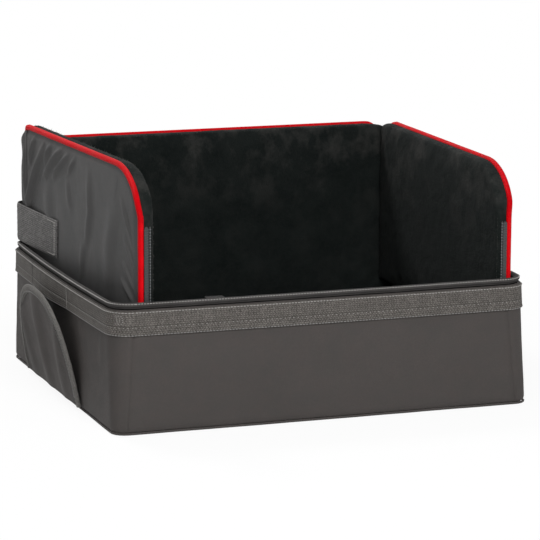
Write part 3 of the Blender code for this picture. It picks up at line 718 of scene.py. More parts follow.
def fold_height(folds, spot):
    """How far laid folds lift the cloth at a spot: each a ridge beside a hollow."""
    lift = 0
    for line, width, height, middle, reach in folds:
        if abs(spot.x - middle.x) > reach or abs(spot.y - middle.y) > reach:
            continue
        best = None
        for step, (first, second) in enumerate(zip(line, line[1:])):
            run = second - first
            part = min(1, max(0, (spot - first).dot(run) / run.length_squared))
            away = spot - first.lerp(second, part)
            if best is None or away.length < best[0]:
                side = run.x * away.y - run.y * away.x
                best = (away.length, math.copysign(1, side), (step + part) / (len(line) - 1))
        distance, side, share = best
        if distance > 4 * width:
            continue
        taper = math.sin(math.pi * min(1, max(0, 0.06 + 0.88 * share))) ** 0.7
        hollow = ridge(distance * side - 1.5 * width, 1.2 * width)
        lift += height * taper * (ridge(distance, width) - 0.45 * hollow)
    return lift


def make_cover_side(side):
    """One side of the box's cloth, turned in at its seams and its foot."""
    length = panel_flat_length(side)
    folds = laid_folds(side_folds if side in signs else front_folds, (length, panel_height))

    def point(u, v, depth):
        height = mix(cover_foot, panel_height, v)
        seam = min(u, 1 - u) * length
        tuck = seam_depth * (1 - ease(seam / seam_width)) * (1 - depth)
        if side in signs:
            turned = 0.0008 * ridge(seam - 0.0045, 0.0020)
            pleat = 0.0010 * ridge(seam - 0.012, 0.0035) * ease((v - 0.72) / 0.1)
            tuck -= (turned + pleat) * (1 - depth)
        foot = 0.0011 * (1 - ease(v / 0.035)) * (1 - depth)
        spot = on_side(side, u, height, tuck + foot + cover_thickness * depth)
        edge = ease(seam / 0.02) * ease(v / 0.15) * ease((1 - v) / 0.1)
        swell = (0.00045 * ripple(spot, 0.05) + 0.00025 * ripple(spot, 0.018)) * edge
        if height < panel_height - webbing_height - 0.003:
            swell += fold_height(folds, Vector((u * length, height)))
        return spot + (on_side(side, u, height, -0.001) - spot).normalized() * swell

    cover = finished(f"cover_{side}_cloth", sheet_shape(point, 120, 36, (length, panel_height)),
                     box_nylon)
    dress(cover, "box", f"cover_{side}")


def on_side(side, share, height, inset):
    return Vector((*side_plan(side, share, height, inset), height))


def outline_loop(steps, height, inset, level, waver, size):
    """The box's outline as a closed ring of points, laid at a level that wavers."""
    loop = [Vector((*ring_plan(step / steps, height, inset), height)) for step in range(steps)]
    for spot in loop:
        spot.z = level + waver * ripple(spot, size)
    return loop


def make_flat_floor(name, node, material, crown):
    """A cloth sheet cut to the box's outline, with a gently uneven top."""
    low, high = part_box(node)
    inset = box_width / 2 - high.x

    def point(u, v, depth):
        x, y = 2 * u - 1, 2 * v - 1
        reach = max(abs(x), abs(y))
        spot = floor_edge(math.atan2(y / reach, x / reach), inset) * reach if reach else Vector((0, 0))
        height = mix(high.z, low.z, depth)
        if depth == 0:
            height += crown * (ripple((spot.x, spot.y, 0), 0.07) - 0.5) * (1 - reach ** 4)
        return Vector((*spot, height))

    size = (high.x - low.x, high.y - low.y)
    floor = dress(finished(name, sheet_shape(point, 40, 40, size), material), "box", node)


def floor_edge(turn, inset):
    """Where a line from the middle at a turn meets the box's rounded outline."""
    half_x = box_width / 2 - inset
    half_y = box_depth / 2 - inset
    radius = bottom_corner_radius
    heading = Vector((math.cos(turn), math.sin(turn)))
    reach = min(half_x / max(1e-9, abs(heading.x)), half_y / max(1e-9, abs(heading.y)))
    spot = heading * reach
    centre = Vector((math.copysign(half_x - radius, spot.x), math.copysign(half_y - radius, spot.y)))
    if abs(spot.x) > abs(centre.x) and abs(spot.y) > abs(centre.y):
        along = heading.dot(centre)
        spread = along * along - centre.length_squared + radius * radius
        spot = heading * (along + math.sqrt(max(0, spread)))
    return spot


def make_box_cloth():
    for side in ("front", "rear", "left", "right"):
        make_cover_side(side)
    make_flat_floor("cover_base_cloth", "cover_base", box_nylon, 0.0)
    make_flat_floor("lining_floor_cloth", "lining_floor", black_lining, 0.0004)
    low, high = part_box("lining_front")
    size = (perimeter, high.z - low.z)

    def lining_point(u, rise, outer):
        height = mix(low.z, high.z, rise)
        slack = 0.00024 * (0.5 + 0.5 * math.sin(40 * math.pi * u)) * math.sin(math.pi * rise)
        inset = lining_inset if outer else lining_face + slack
        return Vector((*ring_plan(u % 1, height, inset), height))

    sides = finished("lining_sides_cloth", band_shape(lining_point, 200, 14, size, True),
                     black_lining)
    dress(sides, "box", "lining_front", "lining_rear", "lining_left", "lining_right")


# Rim

def outward_of(place):
    """Level direction away from the box at a place on its outline."""
    half_x = box_width / 2 - top_corner_radius
    half_y = box_depth / 2 - top_corner_radius
    inner = Vector((min(half_x, max(-half_x, place.x)), min(half_y, max(-half_y, place.y)), place.z))
    return (place - inner).normalized()


def webbing_point(u, rise, out):
    """A point on the rim webbing at a share of its height, out from the cover.

    Between the belt loops the webbing hangs off the side, most at its lower edge.
    """
    height = mix(webbing_top - webbing_height, webbing_top, rise)
    plan = ring_plan(u % 1, height, -contact_gap - out)
    loop_share = (plan.y + box_depth / 2 - belt_loop_front) / (belt_loop_rear - belt_loop_front)
    if 0 < loop_share < 1:
        swing = belt_loop_standoff * (1 - rise) * math.sin(math.pi * loop_share)
        plan.x += math.copysign(swing, plan.x)
    return Vector((*plan, height))


def webbing_relief(rise):
    """Thickness over the webbing's height: firm selvedges and a sunk line."""
    edge = min(rise, 1 - rise)
    body = webbing_thickness * (1 - 0.5 * (1 - ease(edge / 0.05)))
    return body + 0.0003 * ridge(edge - 0.07, 0.04) - 0.0003 * ridge(rise - webbing_line_rise, 0.03)


def webbing_line(rise, lift=stitch_lift):
    """A line all round on the webbing's outer face."""
    return [webbing_point(step / rim_steps, rise, webbing_relief(rise) + lift)
            for step in range(rim_steps + 1)]


def turned_away(turn, degrees):
    """How far a turn lies from an angle, from minus to plus half a circle."""
    return (turn - math.radians(degrees) + math.pi) % (2 * math.pi) - math.pi


def rolled_section(turn):
    """The rolled edge's section: a firm crest over a deep sewn groove on its outer side."""
    groove = ridge(turned_away(turn, -38), 0.50)
    return 0.97 - 0.42 * groove + 0.07 * ridge(turned_away(turn, 40), 0.35)


def add_webbing_seam(shape, side, from_front):
    """An upright line of close stitches across the rim webbing at a place on a side."""
    share = 0.375 if side > 0 else 0.875
    level_y = from_front - box_depth / 2
    best = min((abs(webbing_point(share + shift / 4000, 0.5, 0).y - level_y), shift)
               for shift in range(-500, 500))[1]
    line = [webbing_point(share + best / 4000, rise / 20, webbing_relief(rise / 20) + stitch_lift)
            for rise in range(21)]
    stitch_line(shape, line, outward_of, 0.0019, (0.0009, 0.00045, 0.0004), 0.001)


def add_bar_tack(shape, share):
    """A patch of close zigzag stitches through the webbing beside a corner seam."""
    for row in range(5):
        rise = 0.50 + row * 0.08
        line = [webbing_point((share + step * 0.0005) % 1, rise, webbing_relief(rise) + stitch_lift)
                for step in range(-4, 5)]
        start = 0.0014 * noise.cell(Vector((row * 3.7, 0, 0)))
        stitch_line(shape, line, outward_of, 0.0030, (0.0010, 0.00035, 0.00035), start)


def make_rim():
    """The rolled edge, the webbing under it, their stitching and the piping at the foot."""
    path = outline_loop(320, panel_height, lining_face / 2, rim_top - rim_roll_radius, 0.0003, 0.03)
    radii = (rim_roll_radius * 1.02, rim_roll_radius * 1.04)
    roll = tube("rim_roll_cloth", path, radii, up_axis, rolled_edge, True, 36, rolled_section)
    dress(roll, "box", "rim_roll")

    def band_point(u, rise, outer):
        return webbing_point(u, rise, webbing_relief(rise) if outer else 0)

    band = band_shape(band_point, 400, 22, (perimeter, webbing_height), True)
    dress(finished("rim_webbing_band", band, rim_webbing_cloth), "box", "rim_webbing")

    upper, lower, seams, crest = (bmesh.new() for _ in range(4))
    stitch_line(upper, webbing_line(0.94), outward_of)
    stitch_line(upper, webbing_line(0.34, 0), outward_of, 0.0046, (0.0009, 0.0004, 0.0003))
    stitch_line(lower, webbing_line(0.035), outward_of)
    for side in (-1, 1):
        add_webbing_seam(upper, side, belt_loop_front)
        add_webbing_seam(seams, side, belt_loop_rear)
    add_bar_tack(upper, 0.9915)
    crest_line = [Vector((*ring_plan(step / rim_steps % 1, panel_height, lining_face / 2 - 0.0026),
                          rim_top - 0.0010)) for step in range(rim_steps + 1)]
    stitch_line(crest, crest_line, up_axis, 0.0030, (0.0012, 0.0009, 0.0006))
    trim(finished("rim_webbing_stitches", upper, grey_thread), "box", "rim_webbing")
    trim(finished("rim_webbing_lower_stitches", lower, dark_thread), "box", "rim_webbing")
    trim(finished("rim_webbing_rear_seams", seams, black_lining), "box", "rim_webbing")
    trim(finished("rim_roll_stitches", crest, grey_thread), "box", "rim_roll")

    low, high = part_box("foot_piping")
    radius = (high.z - low.z) / 2
    path = outline_loop(240, 0, radius, low.z + radius, 0.0004, 0.05)
    foot = tube("foot_piping_cloth", path, (radius, radius * 0.95), up_axis, box_nylon, True, 10)
    dress(foot, "box", "foot_piping")


# Belt flaps

def flap_place(side, across, rise, level):
    """A point of a belt flap leaning out from its hinge at the foot of the box side."""
    out = level * math.cos(flap_lean) + rise * math.sin(flap_lean)
    up = rise * math.cos(flap_lean) - level * math.sin(flap_lean)
    return Vector((signs[side] * (flap_hinge_x + out), flap_centre_y - across,
                   flap_hinge_height + up))


def flap_arch(u, edge_depth):
    """Across and rise of the flap's arch at a share from end to end, drawn in."""
    turn = math.pi * u
    power = 2 / flap_width_power
    across = math.copysign(abs(math.cos(turn)) ** power, math.cos(turn))
    rise = max(0, math.sin(turn)) ** power
    return (flap_half_width - edge_depth) * across, (flap_height - edge_depth) * rise


def flap_fold(across, rise):
    """Soft upright folds that fan out from the flap's foot."""
    fan = across / flap_half_width * (1.15 - 0.35 * rise / flap_height)
    middle = max(0, 1 - (across / flap_half_width) ** 2) ** 0.7
    height = math.sin(math.pi * min(1, 0.04 + 0.9 * rise / flap_height)) ** 0.8
    crease = 0.5 + 0.5 * math.cos(3 * math.pi * fan + 0.5)
    small = ripple((across, rise, 0.1), 0.02)
    return middle * height * (0.0048 * crease ** 2.2 + 0.0006 * small)


def make_belt_flap(side):
    node, body = f"{side}_belt_flap", f"{side}_flap"
    size = (2 * flap_half_width, flap_height)

    def panel_point(u, v, depth):
        across, rise = flap_arch(u, flap_binding_width - 0.0015)
        rise *= v
        edge = min(1, math.sin(math.pi * u) * 2)
        level = flap_thickness / 2 + flap_skin * (0.5 - depth) + flap_fold(across, rise) * edge
        return flap_place(side, across, rise, level - flap_seam_sink * v ** 12)

    def binding_point(u, v):
        turn = 2 * math.pi * v
        across, rise = flap_arch(u, flap_binding_width / 2 * (1 - math.cos(turn)))
        plump = 1 + 0.12 * ripple((across * 1.3, rise, 0.7), 0.006)
        return flap_place(side, across, rise,
                          flap_thickness / 2 * (1 + plump * math.sin(turn) * 0.95))

    panel = finished(f"{body}_cloth", sheet_shape(panel_point, 90, 40, size), box_nylon)
    dress(panel, body, node)
    edge_shape = loop_shape(binding_point, 150, 14, (0.36, 2 * flap_binding_width))
    binding = finished(f"{body}_edge_tape", edge_shape, edge_tape, 80)
    dress(binding, body, f"{node}_binding")
    shape = bmesh.new()
    line = [flap_place(side, *flap_arch(step / 300, flap_binding_width * 0.8),
                       flap_thickness * 0.98) for step in range(6, 295)]
    outward = Vector((signs[side] * math.cos(flap_lean), 0, -math.sin(flap_lean)))
    stitch_line(shape, line, outward, 0.0032)
    stitches = trim(finished(f"{body}_stitches", shape, dark_thread), body, f"{node}_binding")


# Padded walls

def bulge(share, up):
    """A cushioned rise: one over most of the panel, nothing at its edges."""
    return dome(share) * (1 - (2 * up - 1) ** 4)


def crowded(share):
    """A share along, crowded towards the ends, where the top corners bend."""
    return share - 0.62 * math.sin(2 * math.pi * share) / (2 * math.pi)


class Wall:
    """A padded wall at rest: along its length, inward into the cabin, and up."""

    def __init__(self, name):
        self.name = name
        self.top = wall_tops[name]
        self.side = signs.get(name.split("_")[0], 0)
        if self.side:
            turn = Matrix.Rotation(wall_turns[name], 3, "Z")
            self.along = turn @ Vector((0, -1, 0))
            self.inward = turn @ Vector((-self.side, 0, 0))
            self.start = Vector((self.side * hinge_x, hinge_y, 0)) + self.along * contact_gap
            self.length, self.bottom, self.body = wall_length, side_wall_bottom, name
            self.corners = (rear_corner, front_corner)
            self.rounds = (0, front_corner_round)
        else:
            reach = hinge_x + wall_thickness
            self.along, self.inward = Vector((1, 0, 0)), Vector((0, -1, 0))
            self.start = Vector((-reach, hinge_y + contact_gap, 0))
            self.length, self.bottom, self.body = 2 * reach, back_wall_bottom, "insert"
            self.corners = (back_corner, back_corner)
            self.rounds = (back_corner_round, back_corner_round)
        self.height = self.top - self.bottom
        self.size = (self.length, self.height)

    def point(self, along, level, height):
        """A point so far along, inward of the inner face and up, rounded at outer corners."""
        loss = 0
        for reach, radius in zip((along, self.length - along), self.rounds):
            if reach < radius:
                loss = radius - math.sqrt(radius ** 2 - (radius - max(0, reach)) ** 2)
        drawn_in = level if level > 0 else level * (1 - loss / wall_thickness)
        return self.square_point(along, drawn_in, height)

    def square_point(self, along, level, height):
        return self.start + self.along * along + self.inward * level + Vector((0, 0, height))

    def top_at(self, along, inset):
        for reach, (run, drop) in zip((along, self.length - along), self.corners):
            if reach < run:
                rise = 1 - ((run - reach) / (run - inset)) ** 2
                return self.top - drop + (drop - inset) * math.sqrt(max(0, rise))
        return self.top - inset

    def place(self, inset, share, up, level, foot_inset=None):
        along = mix(inset, self.length - inset, crowded(share))
        foot = self.bottom + (inset if foot_inset is None else foot_inset)
        return self.point(along, level, mix(foot, self.top_at(along, inset), up))

    def measure(self, spot):
        """A spot's inward level, its shares along and up, and how cushioned it is there."""
        away = spot - self.start
        shares = (away.dot(self.along) / self.length, (spot.z - self.bottom) / self.height)
        return away.dot(self.inward), shares, max(0, bulge(*shares))


cloth_settings = {
    "quality": 5, "mass": 0.3, "tension_stiffness": 12, "compression_stiffness": 12,
    "shear_stiffness": 4, "bending_stiffness": 0.3, "vertex_group_mass": "seams",
    "use_pressure": True, "uniform_pressure_force": 4, "shrink_min": -cloth_growth,
}


def swell(piece, is_seam, cap, quick_move):
    """Swell a pad between its seams by simulated cloth, each point up to its cap.
    """
    seams = piece.vertex_groups.new(name="seams")
    pinned = [vert.index for vert in piece.data.vertices if is_seam(vert.co)]
    seams.add(pinned, 1.0, "REPLACE")
    cloth = piece.modifiers.new("Cloth", "CLOTH")
    for setting, value in cloth_settings.items():
        setattr(cloth.settings, setting, value)
    cloth.settings.effector_weights.gravity = 0
    cloth.collision_settings.use_collision = False
    cloth.point_cache.frame_start = 1
    cloth.point_cache.frame_end = cloth_frames
    scene = bpy.context.scene
    for step in range(1, cloth_frames + 1):
        scene.frame_set(step)
    swollen = piece.evaluated_get(bpy.context.evaluated_depsgraph_get()).data
    targets = [vert.co.copy() for vert in swollen.vertices]
    piece.modifiers.remove(cloth)
    scene.frame_set(1)
    for vert, target in zip(piece.data.vertices, targets):
        move = target - vert.co
        limit = cap(vert.co)
        if move.length > limit:
            move *= limit / move.length
        vert.co += move


def brush_pile(piece, depth, facing):
    """Smooth a pad, then lift and sink its pile in clumps, but not on its hidden side."""
    modifier = piece.modifiers.new("Subdivision", "SUBSURF")
    modifier.levels = modifier.render_levels = 1
    graph = bpy.context.evaluated_depsgraph_get()
    mesh = bpy.data.meshes.new_from_object(piece.evaluated_get(graph))
    piece.modifiers.remove(modifier)
    piece.data = mesh
    normals = [vert.normal.copy() for vert in mesh.vertices]
    for vert, normal in zip(mesh.vertices, normals):
        clump = ripple(vert.co, 0.011) * 0.6 + ripple(vert.co, 0.0045) * 0.4
        vert.co += normal * depth * clump * ease(normal.dot(facing) + 0.6)
    mesh.shade_smooth()


def make_wall_pad(wall):
    """The wall's plush body, swollen between its seams."""
    outer = pad_outer + 0.0005

    def point(u, v, depth):
        if depth == 0:
            return wall.place(pad_seam_inset, u, v, pad_outer)
        if depth == 1:
            at_rim = u in (0, 1) or v in (0, 1)
            return wall.place(pad_edge_roll * 0.9, u, v, -0.0012 if at_rim else -0.0006)
        inset = pad_seam_inset * (1 - math.sin(math.pi * depth))
        return wall.place(inset, u, v, mix(pad_outer, -pad_edge_roll, min(1, depth / 0.8)))

    def is_seam(spot):
        level, shares, _ = wall.measure(spot)
        return outer < level < pad_inner or min(shares) < 0.012 or max(shares) > 0.985

    def cap(spot):
        level, _, rise = wall.measure(spot)
        if level < outer:
            return crown_outside * rise
        return 0.0004 + (0.0058 if level > pad_inner else 0) * rise

    def quick_move(spot):
        level, _, rise = wall.measure(spot)
        lift = -crown_outside if level < outer else 0.0045 if level > pad_inner else 0
        return wall.inward * lift * rise

    pad = finished(f"{wall.name}_pad", sheet_shape(point, 64, 36, wall.size, 4), black_plush, 180)
    swell(pad, is_seam, cap, quick_move)
    brush_pile(pad, 0.0009, wall.inward)
    dress(pad, wall.body, f"{wall.name}_plush", f"{wall.name}_foam")


def make_wall_face(wall):
    """The wall's nylon face, gathered to the piping and creased."""
    columns, rows = 190, 110
    folds = laid_folds(side_wall_folds if wall.side else back_wall_folds, wall.size)
    lifts = {}

    def lift_at(share, up):
        spot = Vector((share * wall.length, up * wall.height))
        hem = ease(min(share * 30, (1 - share) * 26, (1 - up) * 16))
        loose = 0.0009 * ripple((spot.x, spot.y * 0.6, wall.top), 0.045)
        loose += 0.0002 * ripple((spot.x + spot.y * 0.4, spot.y, 1.0), 0.014)
        crease = max(-0.0002, fold_height(folds, spot) + loose + 0.0003) * hem
        front = (1 - share) * 40 if wall.side else 1
        tuck = 0.0012 * (1 - ease(min(1, front, (1 - up) * 26)))
        return crease - tuck + crown_outside * bulge(share, up)

    def point(u, v, depth):
        spot = (round(u * columns), round(v * rows))
        if spot not in lifts:
            lifts[spot] = lift_at(crowded(u), v)
        level = -(wall_thickness + lifts[spot]) + nylon_thickness * depth
        return wall.place(nylon_inset, u, v, level, 0)

    shape = sheet_shape(point, columns, rows, wall.size)
    face = dress(finished(f"{wall.name}_face", shape, wall_nylon), wall.body, f"{wall.name}_nylon")


def make_wall_piping(wall):
    """Piping along the top, and down the front edge of a side wall."""
    first = corner_side_lap if wall.side else corner_back_lap
    last = wall.length - (piping_inset if wall.side else corner_back_lap)
    route = []
    for step in range(111):
        along = mix(first, last, math.sin(step / 110 * math.pi / 2) if wall.side else step / 110)
        route.append(wall.point(along, piping_level, wall.top_at(along, piping_inset)))
    if wall.side:
        corner = route[-1]
        foot = wall.point(last, piping_level, wall.bottom)
        route += [corner.lerp(foot, step / 40) for step in range(1, 41)]
    for place in route:
        place += wall.inward * 0.0003 * ripple(place, 0.02)
    cord = tube(f"{wall.name}_piping_cord", route, (piping_cord_radius, piping_cord_radius),
                wall.inward, piping_red, sides=18)
    dress(cord, wall.body, f"{wall.name}_piping")


def scattered(levels, run, *seeds):
    """Random places in rows: how far along, the row's level and two chances."""
    for row, level in enumerate(levels):
        for step in range(int(run / tuft_spacing)):
            chance, sway = (noise.cell(Vector((step * along, row * across, other)))
                            for along, across, other in seeds)
            yield (step + chance) * tuft_spacing, level, chance, sway


def add_tuft(shape, root, heading, length):
    """A few stuck-together hairs: a thin pointed cone."""
    heading = heading.normalized()
    turn = heading.to_track_quat("Z", "Y").to_matrix().to_4x4()
    matrix = Matrix.Translation(root + heading * length / 2) @ turn
    bmesh.ops.create_cone(shape, cap_ends=True, segments=3, radius1=tuft_radius, radius2=0,
                          depth=length, matrix=matrix)


def make_pile_fringe(wall):
    """Stray pile that stands out along the top and front edges of the plush."""
    shape = bmesh.new()
    seeds = ((1.7, 7.1, wall.top * 40), (2.3, 5.3, wall.top * 70 + 9))
    for along, level, chance, sway in scattered((-0.0105, -0.0060, -0.0025), wall.length, *seeds):
        if along > wall.length - 0.004 or chance < 0.25:
            continue
        height = wall.top_at(along, 0.0009) + (0 if level < -0.005 else -0.0006)
        root = wall.point(along, level, height - 0.0004)
        heading = up_axis + wall.inward * (sway - 0.35) * 0.9 + wall.along * (chance - 0.6) * 0.9
        add_tuft(shape, root, heading, mix(0.0012, 0.0028, sway))
    if wall.side:
        low = 0.110
        run = wall.top_at(wall.length, 0) - low
        seeds = ((1.3, 3.1, wall.top * 90), (2.9, 4.7, wall.top * 50 + 3))
        for up, level, chance, sway in scattered((-0.0075, -0.0045, -0.0020), run, *seeds):
            root = wall.square_point(wall.length - 0.0012, level, low + up)
            heading = wall.along + wall.inward * (sway - 0.2) + up_axis * (chance - 0.5)
            add_tuft(shape, root, heading, mix(0.0010, 0.0024, sway))
    fringe = finished(f"{wall.name}_pile_fringe", shape, pile_hair)
    trim(fringe, wall.body, f"{wall.name}_plush")


# Cloth round the rear corners

def round_corner(wall, share, reach, puff, height=0):
    """A place round a wall's hinge, from its side to the back, and the way it faces."""
    turn = mix(wall.side * wall_turns[wall.name], math.pi / 2, share)
    out = Vector((wall.side * math.cos(turn), math.sin(turn), 0))
    reach += puff * math.sin(2 * max(0, turn)) ** 2
    return Vector((wall.side * hinge_x, hinge_y, height)) + out * reach, out


def corner_path(wall, share, reach, puffed=1):
    """Plan place and outward direction from a side wall's lap to the back's."""
    if share < corner_start:
        along = corner_side_lap * (1 - share / corner_start)
        return wall.square_point(along, -reach, 0), -wall.inward
    if share > corner_end:
        part = (share - corner_end) / (1 - corner_end)
        across = hinge_x + wall_thickness - mix(wall_thickness, corner_back_lap, part)
        return Vector((wall.side * across, hinge_y + reach, 0)), Vector((0, 1, 0))
    part = (share - corner_start) / (corner_end - corner_start)
    return round_corner(wall, part, reach, corner_cloth_puff * puffed)


def corner_top(wall, back, share, inset, dip=corner_dip):
    """Height of the corner cloth's top edge: down from the side wall to the back."""
    high = wall.top_at(corner_side_lap, inset)
    low = back.top_at(corner_back_lap, inset)
    return mix(high, low, ease(share)) - dip * math.sin(math.pi * share) ** 1.5


def make_corner(wall, back):
    """The nylon and piping that close a rear corner."""
    bottom = side_wall_bottom + 0.002
    length = corner_side_lap + corner_back_lap - wall_thickness
    length += math.pi / 2 * (corner_cloth_reach + corner_cloth_puff / 2)
    size = (length, corner_top(wall, back, 0.5, 0) - bottom)

    def point(u, v, depth):
        level = mix(bottom, corner_top(wall, back, u, 0.0012, corner_dip / 2), v)
        above_rim = ease((level - rim_top - 0.002) / 0.012)
        place, out = corner_path(wall, u, corner_cloth_reach, above_rim)
        place.z = level
        edge = ease(min(u, 1 - u) / 0.15)
        strap = ease(abs(level - strap_level) / strap_height - 0.3)
        fold = ripple((place.x * 2.2, place.y * 2.2, level * 0.5), 0.016)
        lift = (0.0012 + 0.0016 * strap) * edge * (0.3 + fold) * ease((1 - v) / 0.05) * above_rim
        lift = max(lift, -0.0002) - 0.0003 * (1 - edge)
        draw = 0.0022 * (1 - ease((1 - v) / 0.03))
        return place + out * (lift - draw - mix(0.0005, 0.0009, edge) * depth)

    name = f"{wall.name}_corner"
    cloth = finished(f"{name}_cloth", sheet_shape(point, 60, 90, size), wall_nylon)
    route = []
    for step in range(41):
        share = step / 40
        tucked = corner_tuck * math.sin(math.pi * share)
        route.append(corner_path(wall, share, -piping_level - tucked)[0])
        route[-1].z = corner_top(wall, back, share, piping_inset)
    cord = tube(f"{name}_piping", route, (piping_cord_radius, piping_cord_radius), up_axis,
                piping_red, sides=18)
    start = corner_path(wall, corner_start, corner_cloth_reach)[0]
    end = corner_path(wall, corner_end, corner_cloth_reach)[0]
    for piece in (cloth, cord):
        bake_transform(piece)
        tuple(start)
        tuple(end)


# Half zips

def make_zip_half(name, body, axis):
    """A woven tape and the coil along its edge, whose width is read along an axis."""
    low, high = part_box(f"{name}_tape")
    length = high.z - low.z
    round_length = (high.x - low.x) * 0.6 / length

    def tape_point(u, v, depth):
        inner = 0.00015 + 0.0002 * (1 - ease(min(v, 1 - v) * 12))
        narrow = math.sqrt(max(0.02, 1 - (max(0, u - 1 + round_length) / round_length) ** 2))
        across = mix(low.x, high.x, 0.5 + (v - 0.5) * narrow)
        front = low.y + inner if depth == 0 else high.y - inner
        return Vector((across, front, mix(low.z, high.z, u)))

    tape = sheet_shape(tape_point, 60, 10, (length, 0.005))
    dress(finished(f"{name}_tape_cloth", tape, zip_tape_cloth), body, f"{name}_tape")

    coil_low, coil_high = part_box(f"{name}_coil")
    middle = (coil_low + coil_high) / 2
    radius = (coil_high - coil_low)[axis] / 2
    sizes = (radius * 1.05, tooth_pitch * 0.34, radius * 0.95)
    shape = bmesh.new()
    for step in range(int(length / tooth_pitch)):
        spot = Vector((middle.x, middle.y, low.z + tooth_pitch * (step + 0.5)))
        add_bead(shape, spot, Vector((1, 0, 0.22)).normalized(), Vector((0, -1, 0)), sizes)
    core = Matrix.Translation((middle.x, middle.y, (low.z + high.z) / 2))
    bmesh.ops.create_cone(shape, cap_ends=True, segments=10, radius1=radius * 0.35,
                          radius2=radius * 0.35, depth=length, matrix=core)
    dress(finished(f"{name}_coil_teeth", shape, zip_coil_plastic), body, f"{name}_coil")


# Strap

def wall_strap_path(wall, share):
    """Middle of the strap's inner side on a wall, from its sewn end to the corner."""
    along = mix(strap_sewn_end, 0, share)
    rise = crown_outside * bulge(along / wall.length, (strap_level - wall.bottom) / wall.height)
    level = wall_thickness + rise + strap_clear + strap_corner_slack * share
    return wall.square_point(along, -level, strap_level), -wall.inward


def corner_strap_path(wall, share):
    return round_corner(wall, share, strap_corner_radius, strap_corner_square, strap_level)


def back_strap_path(share):
    """The strap's inner side across the back, slack in the middle."""
    slope = -strap_back_slack * 4 * (2 * share - 1) / (2 * hinge_x)
    place = Vector((mix(-hinge_x, hinge_x, share),
                    hinge_y + strap_corner_radius + strap_back_slack * dome(share), strap_level))
    return place, Vector((-slope, 1, 0)).normalized()


def make_strap(name, path, columns, length):
    """A strap along path(u), which gives its inner side's middle and where it faces."""
    def point(u, rise, outer):
        place, out = path(u)
        depth = strap_thickness * (0.5 + 0.5 * ease(min(rise, 1 - rise) / 0.03)) if outer else 0
        rib = 0.00012 * math.sin(rise * 60) if outer else 0
        return place + out * (depth + rib) + up_axis * mix(-strap_height / 2, strap_height / 2, rise)

    shape = band_shape(point, columns, 16, (length, strap_height))
    return finished(name, shape, strap_webbing, 60)


def make_side_strap(wall):
    """The strap from its sewn end on a wall, round the rear corner, to the back."""
    wall_part, corner_part = 0.55, 0.80

    def path(u):
        if u < wall_part:
            return wall_strap_path(wall, u / wall_part)
        if u < corner_part:
            return corner_strap_path(wall, (u - wall_part) / (corner_part - wall_part))
        share = strap_split * (u - corner_part) / (1 - corner_part)
        return back_strap_path(share if wall.side < 0 else 1 - share)

    def stitch_spot(share, rise):
        place, out = wall_strap_path(wall, share)
        lift = out * (strap_thickness + stitch_lift)
        return place + lift + up_axis * mix(-strap_height / 2, strap_height / 2, rise)

    node = f"{wall.name}_strap"
    length = strap_sewn_end + math.pi / 2 * strap_corner_radius + strap_split * 2 * hinge_x
    run = make_strap(f"{node}_run", path, 120, length)
    shape = bmesh.new()
    for inset in (0.0055, 0.0080):
        line = [stitch_spot(inset / strap_sewn_end, rise) for rise in (0.07, 0.5, 0.93)]
        stitch_line(shape, line, -wall.inward, 0.0028)
    for rise in (0.07, 0.93):
        line = [stitch_spot(step / 8 * 0.28, rise) for step in range(2, 8)]
        stitch_line(shape, line, -wall.inward, 0.0030)
    trim(finished(f"{node}_stitches", shape, grey_thread), wall.body, node)
    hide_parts(node)
    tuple(corner_strap_path(wall, 0)[0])
    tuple(corner_strap_path(wall, 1)[0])
    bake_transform(run)


def make_back_strap():
    strap = make_strap("back_strap_webbing",
                       lambda u: back_strap_path(mix(strap_split, 1 - strap_split, u)), 90,
                       (1 - 2 * strap_split) * 2 * hinge_x)
    dress(strap, "insert", "back_strap")


# Seat cushion

def cushion_outline(u, v):
    """A point in plan from a share each way, with slightly drawn-in corners."""
    across, along = 2 * u - 1, 2 * v - 1
    x = across * (cushion_half_width - 0.003 * (1 - along ** 2)) * (1 - 0.03 * along ** 6)
    y = along * (cushion_half_depth - 0.003 * (1 - across ** 2)) * (1 - 0.03 * across ** 6)
    return x, cushion_middle_y + y


def squared_dome(across, along):
    """1 over most of a cushion, falling to 0 at its edges, where across or along is 1."""
    return (1 - across ** 4) * (1 - along ** 4)


